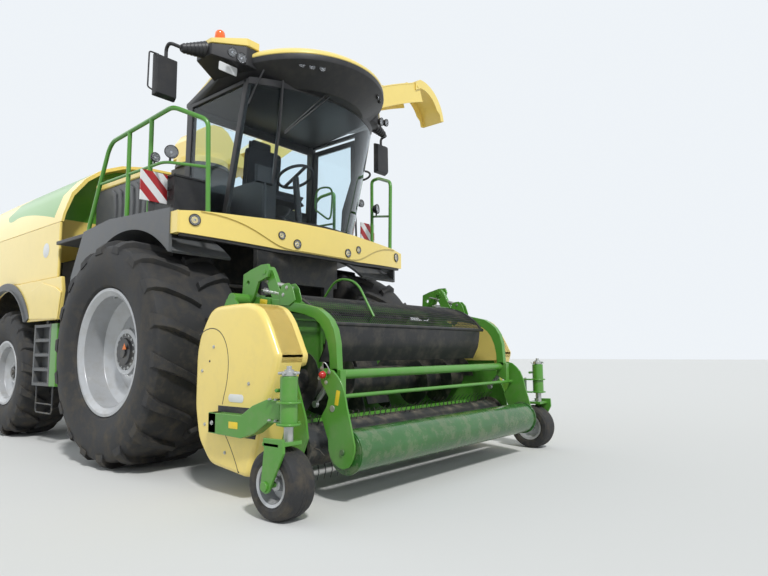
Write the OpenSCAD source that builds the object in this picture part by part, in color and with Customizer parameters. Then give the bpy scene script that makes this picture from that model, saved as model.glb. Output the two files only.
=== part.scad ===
// Self-propelled forage harvester with a pick-up header, spout swung to the left.
// Forward is +X, the machine's left is +Y, and the origin lies on the ground
// under the middle of the front axle. All sizes are in millimetres.

/* [Wheels] */
// Distance from the front axle to the rear axle
wheelbase = 3150; // [3050:10:3250]
// Distance between the middles of the front tyres
front_track = 2600; // [2580:10:2640]
// Radius of a front tyre over its lugs
front_tyre_r = 1020; // [990:5:1030]
// Width of a front tyre
front_tyre_w = 880; // [800:10:900]
// Radius of a front rim at its flange
front_rim_r = 560; // [540:5:580]
// Distance between the middles of the rear tyres
rear_track = 2380; // [2340:10:2420]
// Radius of a rear tyre over its lugs
rear_tyre_r = 775; // [740:5:790]
// Width of a rear tyre
rear_tyre_w = 600; // [540:10:620]
// Radius of a rear rim at its flange
rear_rim_r = 385; // [370:5:400]
// Height of the lugs
lug_h = 42; // [30:1:50]

/* [Frame] */
// Distance between the middles of the two frame rails
rail_gap = 800; // [780:10:810]
// Width of a frame rail
rail_w = 90; // [70:5:100]
// Height of a frame rail
rail_h = 240; // [200:10:260]
// Height of the rails' undersides above the ground
rail_z = 1150; // [1140:10:1180]
// Rear end of the rails behind the front axle
rail_back = 4700; // [4600:10:4750]

/* [Cab] */
// Height of the cab floor's top
cab_floor_z = 2250; // [2250:5:2270]
// Height of the cab's side windows and windscreen
cab_glass_h = 1330; // [1300:10:1350]
// Half of the cab's width at its side windows
cab_half_w = 880; // [860:10:900]
// Rear face of the cab behind the front axle
cab_back = 120; // [100:10:150]
// Place of the front pillars ahead of the front axle
pillar_x = 620; // [600:10:640]
// Bulge of the windscreen ahead of the front pillars
screen_bulge = 440; // [420:5:450]
// Thickness of the glass
glass_t = 8; // [6:1:10]
// Width of a cab pillar
pillar_w = 80; // [60:5:90]
// Thickness of the roof
roof_h = 290; // [260:10:310]

/* [Rear body] */
// Front edge of the rear hood behind the front axle
hood_front = 1700; // [1680:10:1720]
// Rear end of the rear hood
hood_back = 4950; // [4900:10:5000]
// Half of the hood's width
hood_half_w = 1450; // [1430:10:1460]
// Height of the hood's crown
hood_top = 3380; // [3340:10:3420]
// Height of the side panels' lower edge
hood_side_z = 1860; // [1840:10:1880]
// Height of the skirts' lower edge
skirt_z = 1380; // [1360:10:1400]
// Thickness of the hood's panels
panel_t = 30; // [20:2:36]
// Gap between neighbouring panels
panel_gap = 8; // [6:1:12]

/* [Spout] */
// Slewing axis behind the front axle
spout_x = 1150; // [1130:10:1170]
// Width of the spout's channel
spout_w = 440; // [400:10:460]
// Height of the channel at its root
spout_root_h = 400; // [370:10:420]
// Height of the channel at its tip
spout_tip_h = 350; // [320:10:360]
// Sheet thickness of the spout
spout_t = 12; // [8:1:14]
// Reach of the boom's end from the slewing axis
spout_reach = 4400; // [4300:10:4450]
// Height of the boom's end above the ground
spout_top_z = 6000; // [5950:10:6050]

/* [Header] */
// Pivot of the intake housing ahead of the front axle
lift_x = 350; // [340:5:360]
// Height of the intake housing's pivot
lift_z = 950; // [940:5:960]
// Half of the width between the header's side plates
header_half_w = 1380; // [1360:5:1390]
// Thickness of the header's plates
plate_t = 16; // [10:1:20]
// Radius of the auger over its flights
auger_r = 270; // [250:5:275]
// Radius of the auger's tube
auger_tube_r = 130; // [110:5:150]
// Radius of the pick-up reel over its tines
reel_r = 255; // [245:5:260]
// Radius of the pick-up reel's drum
reel_drum_r = 150; // [140:5:165]
// Radius of the press roller
roller_r = 140; // [130:5:146]
// Radius of the roller's end discs
roller_disc_r = 168; // [160:2:170]
// Radius of a gauge wheel
gauge_r = 215; // [205:5:225]
// Width of a gauge wheel
gauge_w = 195; // [180:5:205]

/* [Hidden] */

pale_yellow = [0.96, 0.84, 0.42];
leaf_green = [0.42, 0.72, 0.22];
dark_grey = [0.30, 0.31, 0.32];
black_paint = [0.06, 0.06, 0.07];
rubber = [0.12, 0.12, 0.13];
silver = [0.72, 0.73, 0.74];
glass_blue = [0.55, 0.75, 0.85, 0.4];

// Clearance of a round pin in its bore, and of flat pieces that move past each other
run_fit = 0.05;
seat_gap = 0.3;
move_gap = 8;

// Axles
front_y = front_track / 2;
rear_y = rear_track / 2;
axle_tube_r = 130;
spindle_r = 100;
rear_spindle_r = 60;
kingpin_y = 830;
kingpin_r = 35;

// A plate in the XZ plane, from y to y + t
module side_plate(points, y, t) {
    translate([0, y + t, 0]) rotate([90, 0, 0]) linear_extrude(t) polygon(points);
}

// A round bar from one point to another
module rod(p, q, r) {
    d = q - p;
    translate(p) rotate([0, acos(d[2] / norm(d)), atan2(d[1], d[0])]) cylinder(r = r, h = norm(d));
}

// A round bar through a list of points, with a ball at each bend
module bent_rod(points, r) {
    for (i = [0:len(points) - 2]) rod(points[i], points[i + 1], r);
    for (i = [1:len(points) - 2]) translate(points[i]) sphere(r = r + 1);
}

// The same piece on both sides of the machine
module both_sides() {
    children();
    mirror([0, 1, 0]) children();
}

function arc(c, r, a0, a1, n) = [for (i = [0:n]) let (a = a0 + (a1 - a0) * i / n) c + r * [cos(a), sin(a)]];
function flip(points) = [for (i = [len(points) - 1:-1:0]) points[i]];
function flip_z(points) = [for (i = [len(points) - 1:-1:0]) [points[i][0], -points[i][1]]];

// Wheels, drawn at the origin with the outer side towards -Y
function bead_half(w) = w * 0.40;

module tyre(r, w, rim_r) {
    seat_r = rim_r - 40;
    half = [[seat_r, 0], [seat_r, bead_half(w)], [rim_r + 15, bead_half(w)], [rim_r + 35, w * 0.44],
        [rim_r + (r - rim_r) * 0.35, w * 0.495], [rim_r + (r - rim_r) * 0.55, w * 0.50],
        [r - lug_h * 2.2, w * 0.47], [r - lug_h * 0.5, w * 0.44], [r, w * 0.38], [r, 0]];
    rotate([90, 0, 0]) rotate_extrude($fn = 96)
        polygon(concat([for (i = [1:len(half) - 2]) half[i]],
            flip_z([for (i = [1:len(half) - 2]) half[i]])));
}

// Rim with its disc set deep, and the hub that closes over the spindle
module rim(w, rim_r, dish, hub_r, hub_out, bore_r) {
    seat_r = rim_r - 40;
    well_r = seat_r - 22;
    z = bead_half(w);
    rotate([90, 0, 0]) difference() {
        union() {
            rotate_extrude($fn = 96) polygon([
                [hub_r - 5, dish - 14], [well_r - 110, dish - 14], [well_r - 20, dish + 50], [well_r, dish + 60],
                [well_r, -z + 10], [rim_r - 16, -z - 24], [rim_r + 12, -z - 24], [rim_r + 12, -z], [seat_r, -z],
                [seat_r, z], [rim_r + 12, z], [rim_r + 12, z + 24], [rim_r - 16, z + 24],
                [well_r, z - 10], [well_r, dish + 95], [well_r - 120, dish + 14], [hub_r - 5, dish + 14]]);
            translate([0, 0, dish - 14]) cylinder(r = hub_r, h = hub_out + 14, $fn = 48);
        }
        translate([0, 0, dish - 15]) cylinder(r = bore_r, h = hub_out - 30, $fn = 48);
    }
}

front_dish = 60;
front_hub_out = 130;
rear_dish = 60;
rear_hub_out = 90;
module tyre_front() { color(rubber) tyre(front_tyre_r, front_tyre_w, front_rim_r); }
module rim_front() { color(silver) rim(front_tyre_w, front_rim_r, front_dish, 210, front_hub_out, spindle_r + run_fit); }
module tyre_rear() { color(rubber) tyre(rear_tyre_r, rear_tyre_w, rear_rim_r); }
module rim_rear() { color(silver) rim(rear_tyre_w, rear_rim_r, rear_dish, 130, rear_hub_out, rear_spindle_r + run_fit); }

module at_front_r() { translate([0, -front_y, front_tyre_r]) children(); }
module at_front_l() { translate([0, front_y, front_tyre_r]) mirror([0, 1, 0]) children(); }
module at_rear_r() { translate([-wheelbase, -rear_y, rear_tyre_r]) children(); }
module at_rear_l() { translate([-wheelbase, rear_y, rear_tyre_r]) mirror([0, 1, 0]) children(); }

// Front axle: centre gearbox, tubes, final drives and spindles
module front_axle() color(dark_grey) {
    drum_end = front_y + front_dish - 14 - move_gap;
    translate([0, 0, front_tyre_r]) {
        rotate([90, 0, 0]) cylinder(r = 200, h = 420, center = true);
        both_sides() {
            translate([0, -200, 0]) rotate([90, 0, 0]) cylinder(r = axle_tube_r, h = 650);
            translate([0, -840, 0]) rotate([90, 0, 0]) cylinder(r = 240, h = drum_end - 840);
            translate([0, -drum_end + 10, 0]) rotate([90, 0, 0])
                cylinder(r = spindle_r, h = front_y + front_dish + front_hub_out - 60 - drum_end + 10);
            translate([-90, -rail_gap / 2 - 60, axle_tube_r - 30])
                cube([180, 120, rail_z - front_tyre_r - axle_tube_r + 30]);
            translate([60, -barrel_y - 90, -520]) cube([90, 30, 480]);
            translate([60, -barrel_y + 60, -520]) cube([90, 30, 480]);
            translate([barrel_x, -barrel_y + 90, barrel_z - front_tyre_r]) rotate([90, 0, 0]) cylinder(r = 24, h = 180);
        }
    }
}

// Rear axle: beam hung on a pin under the frame, with kingpins at its ends
axle_beam_z = 690;
module rear_axle() color(dark_grey) translate([-wheelbase, 0, 0]) {
    translate([-90, -740, axle_beam_z]) cube([180, 1480, 200]);
    translate([-120, -90, 860]) cube([240, 180, rail_z + 40 - seat_gap - 860]);
    both_sides() {
        translate([0, -kingpin_y, axle_beam_z - 60]) cylinder(r = kingpin_r, h = 320);
        translate([-70, -kingpin_y, axle_beam_z + 40]) cube([140, 100, 120]);
    }
}

// Steering knuckle: fork round the beam's end, and the wheel's spindle
module knuckle() {
    s = rear_y + rear_dish + rear_hub_out - 60 - kingpin_y;
    color(dark_grey) translate([-wheelbase, -kingpin_y, 0]) difference() {
        union() {
            for (z = [axle_beam_z - 55, axle_beam_z + 175]) translate([0, 0, z]) cylinder(r = 80, h = 80);
            translate([-70, -150, axle_beam_z - 55]) cube([140, 60, 310]);
            for (z = [axle_beam_z - 55, axle_beam_z + 175]) translate([-60, -100, z]) cube([120, 100, 80]);
            translate([0, -145, rear_tyre_r]) rotate([90, 0, 0]) cylinder(r = rear_spindle_r, h = s - 145);
        }
        translate([0, 0, axle_beam_z - 100]) cylinder(r = kingpin_r + run_fit, h = 400);
    }
}

// Frame: two box rails, cross members and the tow jaw's plate
module main_frame() color(dark_grey) {
    both_sides() translate([-rail_back, -rail_gap / 2 - rail_w / 2, rail_z])
        cube([rail_back + 700, rail_w, rail_h]);
    for (x = [-rail_back, -3900, -wheelbase - 50, -2500, -1700])
        translate([x, -rail_gap / 2 + rail_w / 2, rail_z + 40]) cube([100, rail_gap - rail_w, rail_h - 80]);
    both_sides() {
        side_plate([[lift_x - 70, rail_z + 1], [lift_x + 90, rail_z + 1], [lift_x + 90, lift_z - 20], [lift_x + 20, lift_z - 80],
            [lift_x - 50, lift_z - 20]], -378, 24);
        translate([lift_x + 20, -370, lift_z]) rotate([-90, 0, 0]) cylinder(r = 45, h = 70);
        translate([-1480, -1350, rail_z + 60]) cube([90, 1350 - rail_gap / 2 - rail_w / 2, 120]);
        translate([-2030, -1412, rail_z + 195]) cube([60, 1412 - rail_gap / 2 - rail_w / 2, 40]);
        translate([-700, -rail_gap / 2 - rail_w / 2, rail_z + rail_h - 1]) cube([90, rail_w, 740]);
        translate([-700, -1350, rail_z + rail_h + 739]) cube([90, 1350 - rail_gap / 2 + rail_w / 2, 70]);
    }
}

// Engine, one plain block on the rails
module engine() color(dark_grey) translate([-4150, -440, rail_z + rail_h]) cube([1400, 880, 1000]);

// Chopping drum's housing, and the duct that rises behind the cab to the spout
duct_top = 3290;
module chopper_housing() color(dark_grey) {
    side_plate([[200, 1420], [60, 1640], [-560, 1960], [-spout_x + 220, 2600], [-spout_x + 220, duct_top + 1],
        [-spout_x - 220, duct_top + 1], [-spout_x - 220, 2300], [-980, 1560], [-300, 1260], [200, 1260]], -300, 600);
    both_sides() translate([-100, -rail_gap / 2 + rail_w / 2 + seat_gap, rail_z + 120]) cube([200, rail_gap / 2 - rail_w / 2 - seat_gap - 299, 100]);
    translate([-spout_x, 0, duct_top]) cylinder(r = 330, h = 40);
}

// Cab floor with its sill, sitting on the rails over four rubber blocks
module cab_floor() color(dark_grey) {
    translate([-cab_back, -cab_half_w, cab_floor_z - 60]) cube([pillar_x + cab_back - 14, 2 * cab_half_w, 60]);
    translate([0, 0, cab_floor_z - 60]) linear_extrude(60) polygon(concat(screen_arc(90), [[pillar_x - 20, cab_half_w - 90], [pillar_x - 20, -cab_half_w + 90]]));
    translate([-cab_back + 20, -560, 1750]) cube([80, 1120, cab_floor_z - 60 - 1750]);
    translate([640, -560, 1700]) cube([60, 1120, cab_floor_z - 60 - 1700]);
    both_sides() translate([-cab_back + 20, -500, rail_z + rail_h + seat_gap]) cube([80, 140, 370]);
    both_sides() translate([640, -500, rail_z + rail_h + seat_gap]) cube([60, 140, 320]);
}

// The windscreen's outline in plan, from right pillar to left, in by d
screen_r = (pow(cab_half_w, 2) + pow(screen_bulge, 2)) / (2 * screen_bulge);
screen_half_a = asin(cab_half_w / screen_r);
screen_lean = 5;
function screen_arc(d) = arc([pillar_x + screen_bulge - screen_r, 0], screen_r - d, -screen_half_a, screen_half_a, 16);

// Leans what stands on the cab floor forward, as the windscreen leans
module leaning() { translate([pillar_x, 0, cab_floor_z]) rotate([0, screen_lean, 0]) translate([-pillar_x, 0, 0]) children(); }

window_bottom = 60;
module cab_frame() color(black_paint) {
    h = cab_glass_h - 20;
    both_sides() {
        leaning() translate([pillar_x - 76, -cab_half_w, 0]) cube([70, 45, h + 12]);
        translate([-cab_back, -cab_half_w, cab_floor_z]) cube([90, 60, h]);
    }
    translate([-cab_back, -cab_half_w + 60, cab_floor_z]) cube([40, 2 * cab_half_w - 120, 480]);
    translate([-cab_back, -cab_half_w + 60, cab_floor_z + h - 90]) cube([40, 2 * cab_half_w - 120, 90]);
    translate([-cab_back + 89, -cab_half_w, cab_floor_z]) cube([pillar_x + cab_back - 89 - 60, 45, 40]);
    both_sides() translate([-cab_back + 89, -cab_half_w, cab_floor_z + h - 40]) cube([pillar_x + cab_back - 89 + 20, 45, 40]);
}

module cab_glass() color(glass_blue) {
    intersection() {
        leaning() translate([0, 0, -100]) linear_extrude(cab_glass_h + 300)
            polygon(concat(screen_arc(0), flip(screen_arc(glass_t))));
        translate([0, -1500, panel_z[1] + seat_gap]) cube([2000, 3000, roof_z - panel_z[1] - 2 * seat_gap]);
    }
    translate([-cab_back + 90, -cab_half_w + 10, cab_floor_z + 40]) cube([520, glass_t, cab_glass_h - 100]);
    translate([-cab_back + 10, -cab_half_w + 60, cab_floor_z + 480]) cube([glass_t, 2 * cab_half_w - 120, cab_glass_h - 590]);
}

// Left door, hung on its rear edge: frame with its pane
module cab_door() {
    y = cab_half_w - 36;
    z0 = cab_floor_z + 12;
    h = cab_glass_h - 90;
    outline = [[-cab_back + 90 + seat_gap, 0], [530, 0], [530 + h * tan(screen_lean) * 0.9, h], [-cab_back + 90 + seat_gap, h]];
    color(black_paint) translate([0, y, z0]) translate([0, 36, 0]) rotate([90, 0, 0]) linear_extrude(36) difference() {
        polygon(outline);
        translate([50, 60]) polygon([[0, 0], [430, 0], [430 + (h - 120) * tan(screen_lean) * 0.9, h - 120], [0, h - 120]]);
    }
    color(glass_blue) translate([0, y + 14, z0]) translate([0, 10, 0]) rotate([90, 0, 0]) linear_extrude(glass_t)
        translate([50, 60]) polygon([[0, 0], [430, 0], [430 + (h - 120) * tan(screen_lean) * 0.9, h - 120], [0, h - 120]]);
}

// Roof: black underside and visor with a yellow cap
roof_z = cab_floor_z + cab_glass_h;
roof_front = 1400;
roof_half_w = 960;
roof_r = 1150;
function roof_outline(d) = concat([[-cab_back - 20 + d, -roof_half_w + d]],
    arc([roof_front - roof_r, 0], roof_r - d, -asin((roof_half_w - d) / (roof_r - d)), asin((roof_half_w - d) / (roof_r - d)), 16),
    [[-cab_back - 20 + d, roof_half_w - d]]);
module cab_roof() {
    color(black_paint) translate([0, 0, roof_z]) linear_extrude(200) polygon(roof_outline(0));
    color(pale_yellow) translate([0, 0, roof_z + 200]) linear_extrude(50) polygon(roof_outline(40));
    color(pale_yellow) translate([0, 0, roof_z + 250]) linear_extrude(roof_h - 250) polygon(roof_outline(180));
}

// Lamp carriers on both sides of the roof
module roof_wings() color(black_paint) both_sides() {
    translate([480, -1220, roof_z + 70]) cube([330, 1220 - roof_half_w - seat_gap, 190]);
    translate([680, -1060, roof_z + 259]) cylinder(r = 62, h = 130);
}

module seat() color(dark_grey) {
    translate([80, -200, cab_floor_z]) cube([340, 400, 330]);
    translate([40, -250, cab_floor_z + 330]) cube([480, 500, 130]);
    translate([-20, -240, cab_floor_z + 460]) cube([110, 480, 560]);
}

module controls() color(black_paint) {
    rod([690, 0, cab_floor_z + 5], [620, 0, cab_floor_z + 620], 35);
    translate([612, 0, cab_floor_z + 630]) rotate([0, -25, 0]) rotate_extrude($fn = 48) translate([190, 0]) circle(r = 16, $fn = 16);
    translate([612, 0, cab_floor_z + 630]) rotate([0, -25, 0]) translate([-190, -15, -10]) cube([380, 30, 20]);
    translate([60, -420, cab_floor_z]) cube([560, 150, 520]);
}

// Mirrors on tubes in front of the roof's wings
module mirrors() color(black_paint) both_sides() {
    bent_rod([[640, -1224, roof_z + 150], [640, -1420, roof_z + 180], [600, -1491, roof_z + 120], [570, -1491, 3640]], 18);
    translate([520, -1590, 3290]) cube([70, 200, 360]);
}

// Long curved panel below the windscreen
panel_z = [1950, 2210];
panel_end_x = 860;
panel_mid_x = 1090;
panel_half_w = 1500;
function panel_arc(d) = let (b = panel_mid_x - panel_end_x, r = (pow(panel_half_w, 2) + b * b) / (2 * b), a = asin(panel_half_w / r))
    arc([panel_mid_x - r, 0], r - d, -a, a, 16);
module front_panel() color(pale_yellow) {
    translate([0, 0, panel_z[0]]) linear_extrude(panel_z[1] - panel_z[0]) polygon(concat(panel_arc(0), flip(panel_arc(60))));
    both_sides() translate([750 + seat_gap, -panel_half_w - 20, panel_z[0]]) cube([panel_end_x - 750, 60, panel_z[1] - panel_z[0]]);
    both_sides() translate([700 + seat_gap, -400, 2000]) cube([panel_mid_x - 40 - 700, 60, 60]);
}

// Grey guards over the front wheels
fender_r = 1120;
module front_fenders() color(dark_grey) both_sides() {
    difference() {
        side_plate([[750, 1860], [750, 2240], [-350, 2300], [-900, 2250], [-1160, 1800], [-1160, 1500], [-900, 1500]], -1530, 30);
        translate([0, -1490, front_tyre_r]) rotate([90, 0, 0]) cylinder(r = fender_r, h = 60, $fn = 72);
    }
    translate([0, -910, front_tyre_r]) rotate([90, 0, 0]) rotate_extrude(angle = 100, start = 48, $fn = 72)
        translate([fender_r, 0]) square([25, 591]);
}

// Walkways beside and behind the cab
module platforms() color(dark_grey) both_sides() {
    translate([-1650, -1500, 2210]) cube([1300, 600, 40]);
    translate([-351, -1500, 2210]) cube([1051, 580, 40]);
    translate([0, -901, 2150]) cube([560, 901 - cab_half_w - seat_gap, 61]);
    translate([-1465, -1300, rail_z + 180 + seat_gap]) cube([60, 60, 2211 - rail_z - 180 - seat_gap]);
}

// Green tube rails round the walkways
rail_r = 21;
module railings() color(leaf_green) {
    y = -1450;
    z = 2250 + seat_gap;
    bent_rod([[-940, y, z], [-940, y, 2290], [-500, y, 3140], [560, y, 3200], [900, -1275, 3050], [900, -1255, panel_z[1] + 2.5]], rail_r);
    rod([-110, y, z], [-110, y, 3160], rail_r);
    rod([-700, y, 2740], [500, y, 2700], 16);
    rod([500, y, z], [500, y, 3190], rail_r);
    mirror([0, 1, 0]) {
        bent_rod([[-940, y, z], [-940, y, 2290], [-500, y, 3140], [-220, y, 3160], [-220, y, z]], rail_r);
        bent_rod([[450, y, z], [450, y, 3190], [560, y, 3200], [900, -1275, 3050], [900, -1255, panel_z[1] + 2.5]], rail_r);
        rod([-700, y, 2740], [-230, y, 2740], 16);
    }
}

// Black box right of the cab, and a striped plate on each side
module tool_boxes() {
    color(black_paint) translate([0, -1300, 2250 + seat_gap]) cube([420, 370, 400]);
    sign_plate(1310);
    mirror([0, 1, 0]) sign_plate(door_reach);
}

// Upright plate across the walkway, from its inner edge outward; the left one clears the open door
sign_x = 300;
door_reach = 1392;
module sign_plate(inner_y) color(silver) {
    translate([sign_x, -inner_y - 260, 2380]) cube([20, 260, 280]);
    translate([sign_x - 10, -1480, 2250 + seat_gap]) cube([10, 60, 330]);
}

// Grey ribbed boxes between walkway and hood
module side_louvers() color(dark_grey) both_sides() {
    difference() {
        side_plate([[-560, 2250 + seat_gap], [-700, 2900], [-1690, 2900], [-1690, 2250 + seat_gap]], -940, 630);
        for (i = [0:5]) translate([-1560 + 150 * i, -950, 2380]) cube([60, 40, 420]);
    }
}

// The rear hood's outer form, in by d: a section drawn along X, cut by the side view
function hood_section(d) = let (w = hood_half_w - d, t = hood_top - d)
    [[w, 1000], [w, 2450], [w - 30, 2600], [w - 110, t - 530], [w - 260, t - 330], [w - 450, t - 180], [w - 680, t - 80], [w - 1000, t - 20], [0, t]];
function both_y(points) = concat(points, [for (i = [len(points) - 2:-1:0]) [-points[i][0], points[i][1]]]);
module hood_form(d) intersection() {
    translate([-hood_back - 100, 0, 0]) rotate([90, 0, 90]) linear_extrude(hood_back - hood_front + 200) polygon(both_y(hood_section(d)));
    side_plate([[-hood_front + 150, 900], [-hood_front + 150, 3600], [-3300, hood_top - d + 10], [-4300, hood_top - 130 - d],
        [-hood_back + 180 + d, hood_top - 330 - d], [-hood_back + d, hood_top - 700], [-hood_back + d, 900]], -1600, 3200);
}
hood_split = 2500;
module hood_shell() color(pale_yellow) {
    difference() {
        hood_form(0);
        hood_form(panel_t);
        translate([-6000, -2000, 0]) cube([8000, 4000, hood_split]);
        translate([-hood_front, -2000, 0]) cube([2000, 4000, 5000]);
    }
    // Bulkhead inset behind the front hoop, with the duct's notch
    intersection() {
        hood_form(panel_t);
        difference() {
            translate([-hood_front - 330, -1420, 2290]) cube([panel_t, 2840, 1200]);
            translate([-hood_front - 400, -300, 2000]) cube([200, 600, 900]);
        }
    }
    both_sides() translate([-hood_front - 330, -hood_half_w + panel_t + 8, rail_z + 235 + seat_gap]) cube([60, 100, 2291 - rail_z - 235]);
}

module hood_side() {
    color(pale_yellow) side_plate([[-hood_front, hood_side_z], [-hood_front, hood_split - panel_gap],
        [-hood_back + 60, hood_split - panel_gap], [-hood_back + 60, hood_side_z]], -hood_half_w, panel_t);
}

// Yellow skirts below the side panels, cut round for the rear wheels
module rear_skirts() both_sides() {
    color(pale_yellow) difference() {
        side_plate([[-1200, skirt_z + 300], [-1480, hood_side_z - panel_gap], [-hood_back + 60, hood_side_z - panel_gap],
            [-hood_back + 60, skirt_z], [-1530, skirt_z], [-1200, skirt_z + 200]], -hood_half_w - 30, 40);
        translate([-wheelbase, -1400, 1000]) rotate([90, 0, 0]) cylinder(r = 800, h = 200, $fn = 72);
    }
    color(dark_grey) translate([-4640, -hood_half_w + 9, rail_z + 70]) cube([60, hood_half_w - 9 - rail_gap / 2 - rail_w / 2 - seat_gap, 60]);
    color(dark_grey) translate([-4640, -hood_half_w + 9, rail_z + 70]) cube([60, 50, skirt_z + 60 - rail_z - 70]);
    color(dark_grey) translate([-1470, -hood_half_w + 9, rail_z + 180 + seat_gap]) cube([70, 140 - seat_gap, 150]);
}

// Rear bumper weight with the tow jaw's bore
tow_bore_r = 20;
module rear_bumper() color(dark_grey) difference() {
    union() {
        translate([-rail_back - 200, -600, 850]) cube([200, 1200, 560]);
        translate([-rail_back - 400, -100, 900]) cube([200, 200, 60]);
        translate([-rail_back - 400, -100, 1060]) cube([200, 200, 60]);
    }
    translate([-rail_back - 320, 0, 800]) cylinder(r = tow_bore_r, h = 500, $fn = 32);
}

// Ladder box behind the right front wheel, and the ladder on the left
module steps() {
    both_sides() {
        color(dark_grey) translate([-2270, -1450, 700]) cube([471, 150, rail_z + 195 - seat_gap - 700]);
        color(leaf_green) translate([-1800, -1450, 730]) cube([320 - seat_gap, 150, 600]);
        color(dark_grey) bent_rod([[-2200, -1430, 705], [-2200, -1440, 410], [-1700, -1440, 410], [-1700, -1430, 735]], 9);
        color(dark_grey) translate([-2200, -1460, 380]) cube([500, 180, 30]);
    }
}

// Rear grille, hung on its left edge
door_half_w = 1100;
module rear_door() color(dark_grey) {
    translate([-hood_back - 36, -door_half_w, 1500]) cube([36 - seat_gap, 2 * door_half_w, 1150]);
}

// Spout, drawn along +X from the slewing axis at the origin
pivot_u = 620;
pivot_v = 3470;
arc_drop = 60.6;
arc_r = 4710;
arc_c = [spout_reach, spout_top_z - arc_r];
boom_steps = 14;
function boom_curve(d0, d1) = [for (i = [0:boom_steps]) let (a = 90 + (arc_drop - 2) * i / boom_steps, d = d0 + (d1 - d0) * i / boom_steps)
    arc_c + (arc_r - d) * [cos(a), sin(a)]];
module spout_plane() { translate([-spout_x, 0, 0]) rotate([0, 0, 90]) children(); }

module spout_base() color(pale_yellow) spout_plane() difference() {
    union() {
        translate([0, 0, duct_top + 40 + seat_gap]) cylinder(r = 320, h = 81);
        side_plate([[-300, duct_top + 120], [-280, 3620], [-60, 3840], [150, 3890], [400, 3620], [700, 3520], [700, 3420], [300, duct_top + 120]], -spout_w / 2 + 30, spout_w - 60);
        translate([pivot_u, spout_w / 2 + 20, pivot_v]) rotate([90, 0, 0]) cylinder(r = 25, h = spout_w + 40);
    }
}

module spout_boom() color(pale_yellow) spout_plane() {
    difference() {
        translate([0, spout_w / 2, 0]) rotate([90, 0, 0]) linear_extrude(spout_w)
            polygon(concat(boom_curve(0, 0), flip(boom_curve(spout_tip_h, spout_root_h))));
        translate([0, spout_w / 2 - spout_t, 0]) rotate([90, 0, 0]) linear_extrude(spout_w - 2 * spout_t)
            polygon(concat([for (p = boom_curve(spout_t, spout_t)) p], flip(boom_curve(spout_tip_h + 60, spout_root_h + 60))));
    }
    for (k = [-1, 1]) translate([flap_pin[0], k * (spout_w / 2 + 11), flap_pin[1]]) rotate([90, 0, 0])
        cylinder(r = 18, h = 34, center = true);
    for (y = [-spout_w / 2 - 3, spout_w / 2 - spout_t - 3]) difference() {
        side_plate([[pivot_u - 60, pivot_v - 60], [pivot_u - 70, pivot_v + 40], [pivot_u + 60, pivot_v + 150], [pivot_u + 150, pivot_v + 60], [pivot_u + 60, pivot_v - 60]], y, spout_t + 6);
        translate([pivot_u, spout_w / 2 + 50, pivot_v]) rotate([90, 0, 0]) cylinder(r = 25 + run_fit, h = spout_w + 100);
    }
}

flap_pin = [spout_reach - 60, spout_top_z - 100];
flap_c = [spout_reach + 30, spout_top_z - 640];
flap_r = 670;
module spout_flap() color(pale_yellow) spout_plane() difference() {
    w = spout_w + 2 * move_gap + 2 * spout_t;
    translate([0, w / 2, 0]) rotate([90, 0, 0]) linear_extrude(w) polygon(concat(arc(flap_c, flap_r, 90, 8, 8),
        [[spout_reach + 50, spout_top_z - 850], [spout_reach - 70, spout_top_z - 400], [spout_reach - 110, spout_top_z - 170],
            [spout_reach - 110, spout_top_z - 40]]));
    translate([0, w / 2 - spout_t, 0]) rotate([90, 0, 0]) linear_extrude(w - 2 * spout_t)
        polygon(concat(arc(flap_c, flap_r - spout_t, 90, 8, 8), [[spout_reach + 900, spout_top_z - 700],
            [spout_reach + 50, spout_top_z - 1000], [spout_reach - 300, spout_top_z - 400], [spout_reach - 300, spout_top_z + 60],
            [spout_reach + 29, spout_top_z + 60]]));
    translate([flap_pin[0], w, flap_pin[1]]) rotate([90, 0, 0]) cylinder(r = 18 + run_fit, h = 2 * w);
}

// Intake housing, which swings with the header about the drum's axis
intake_front = 1340;
module intake_housing() color(black_paint) difference() {
    union() {
        side_plate([[360, 700], [420, 620], [intake_front, 480], [intake_front, 1180], [900, 1300], [420, 1330], [345, 1260]], -320, 640);
        both_sides() side_plate([[lift_x - 70, lift_z - 70], [lift_x - 70, lift_z + 70], [700, 1150], [700, 700]], -345, 26);
        both_sides() translate([rod_eye_x, -barrel_y - 40, rod_eye_z]) rotate([-90, 0, 0]) cylinder(r = 22, h = barrel_y - 290);
    }
    translate([900, -290, 560]) cube([intake_front, 580, 520]);
    both_sides() translate([lift_x + 20, -290, lift_z]) rotate([90, 0, 0]) cylinder(r = 45 + run_fit, h = 100);
}

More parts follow.
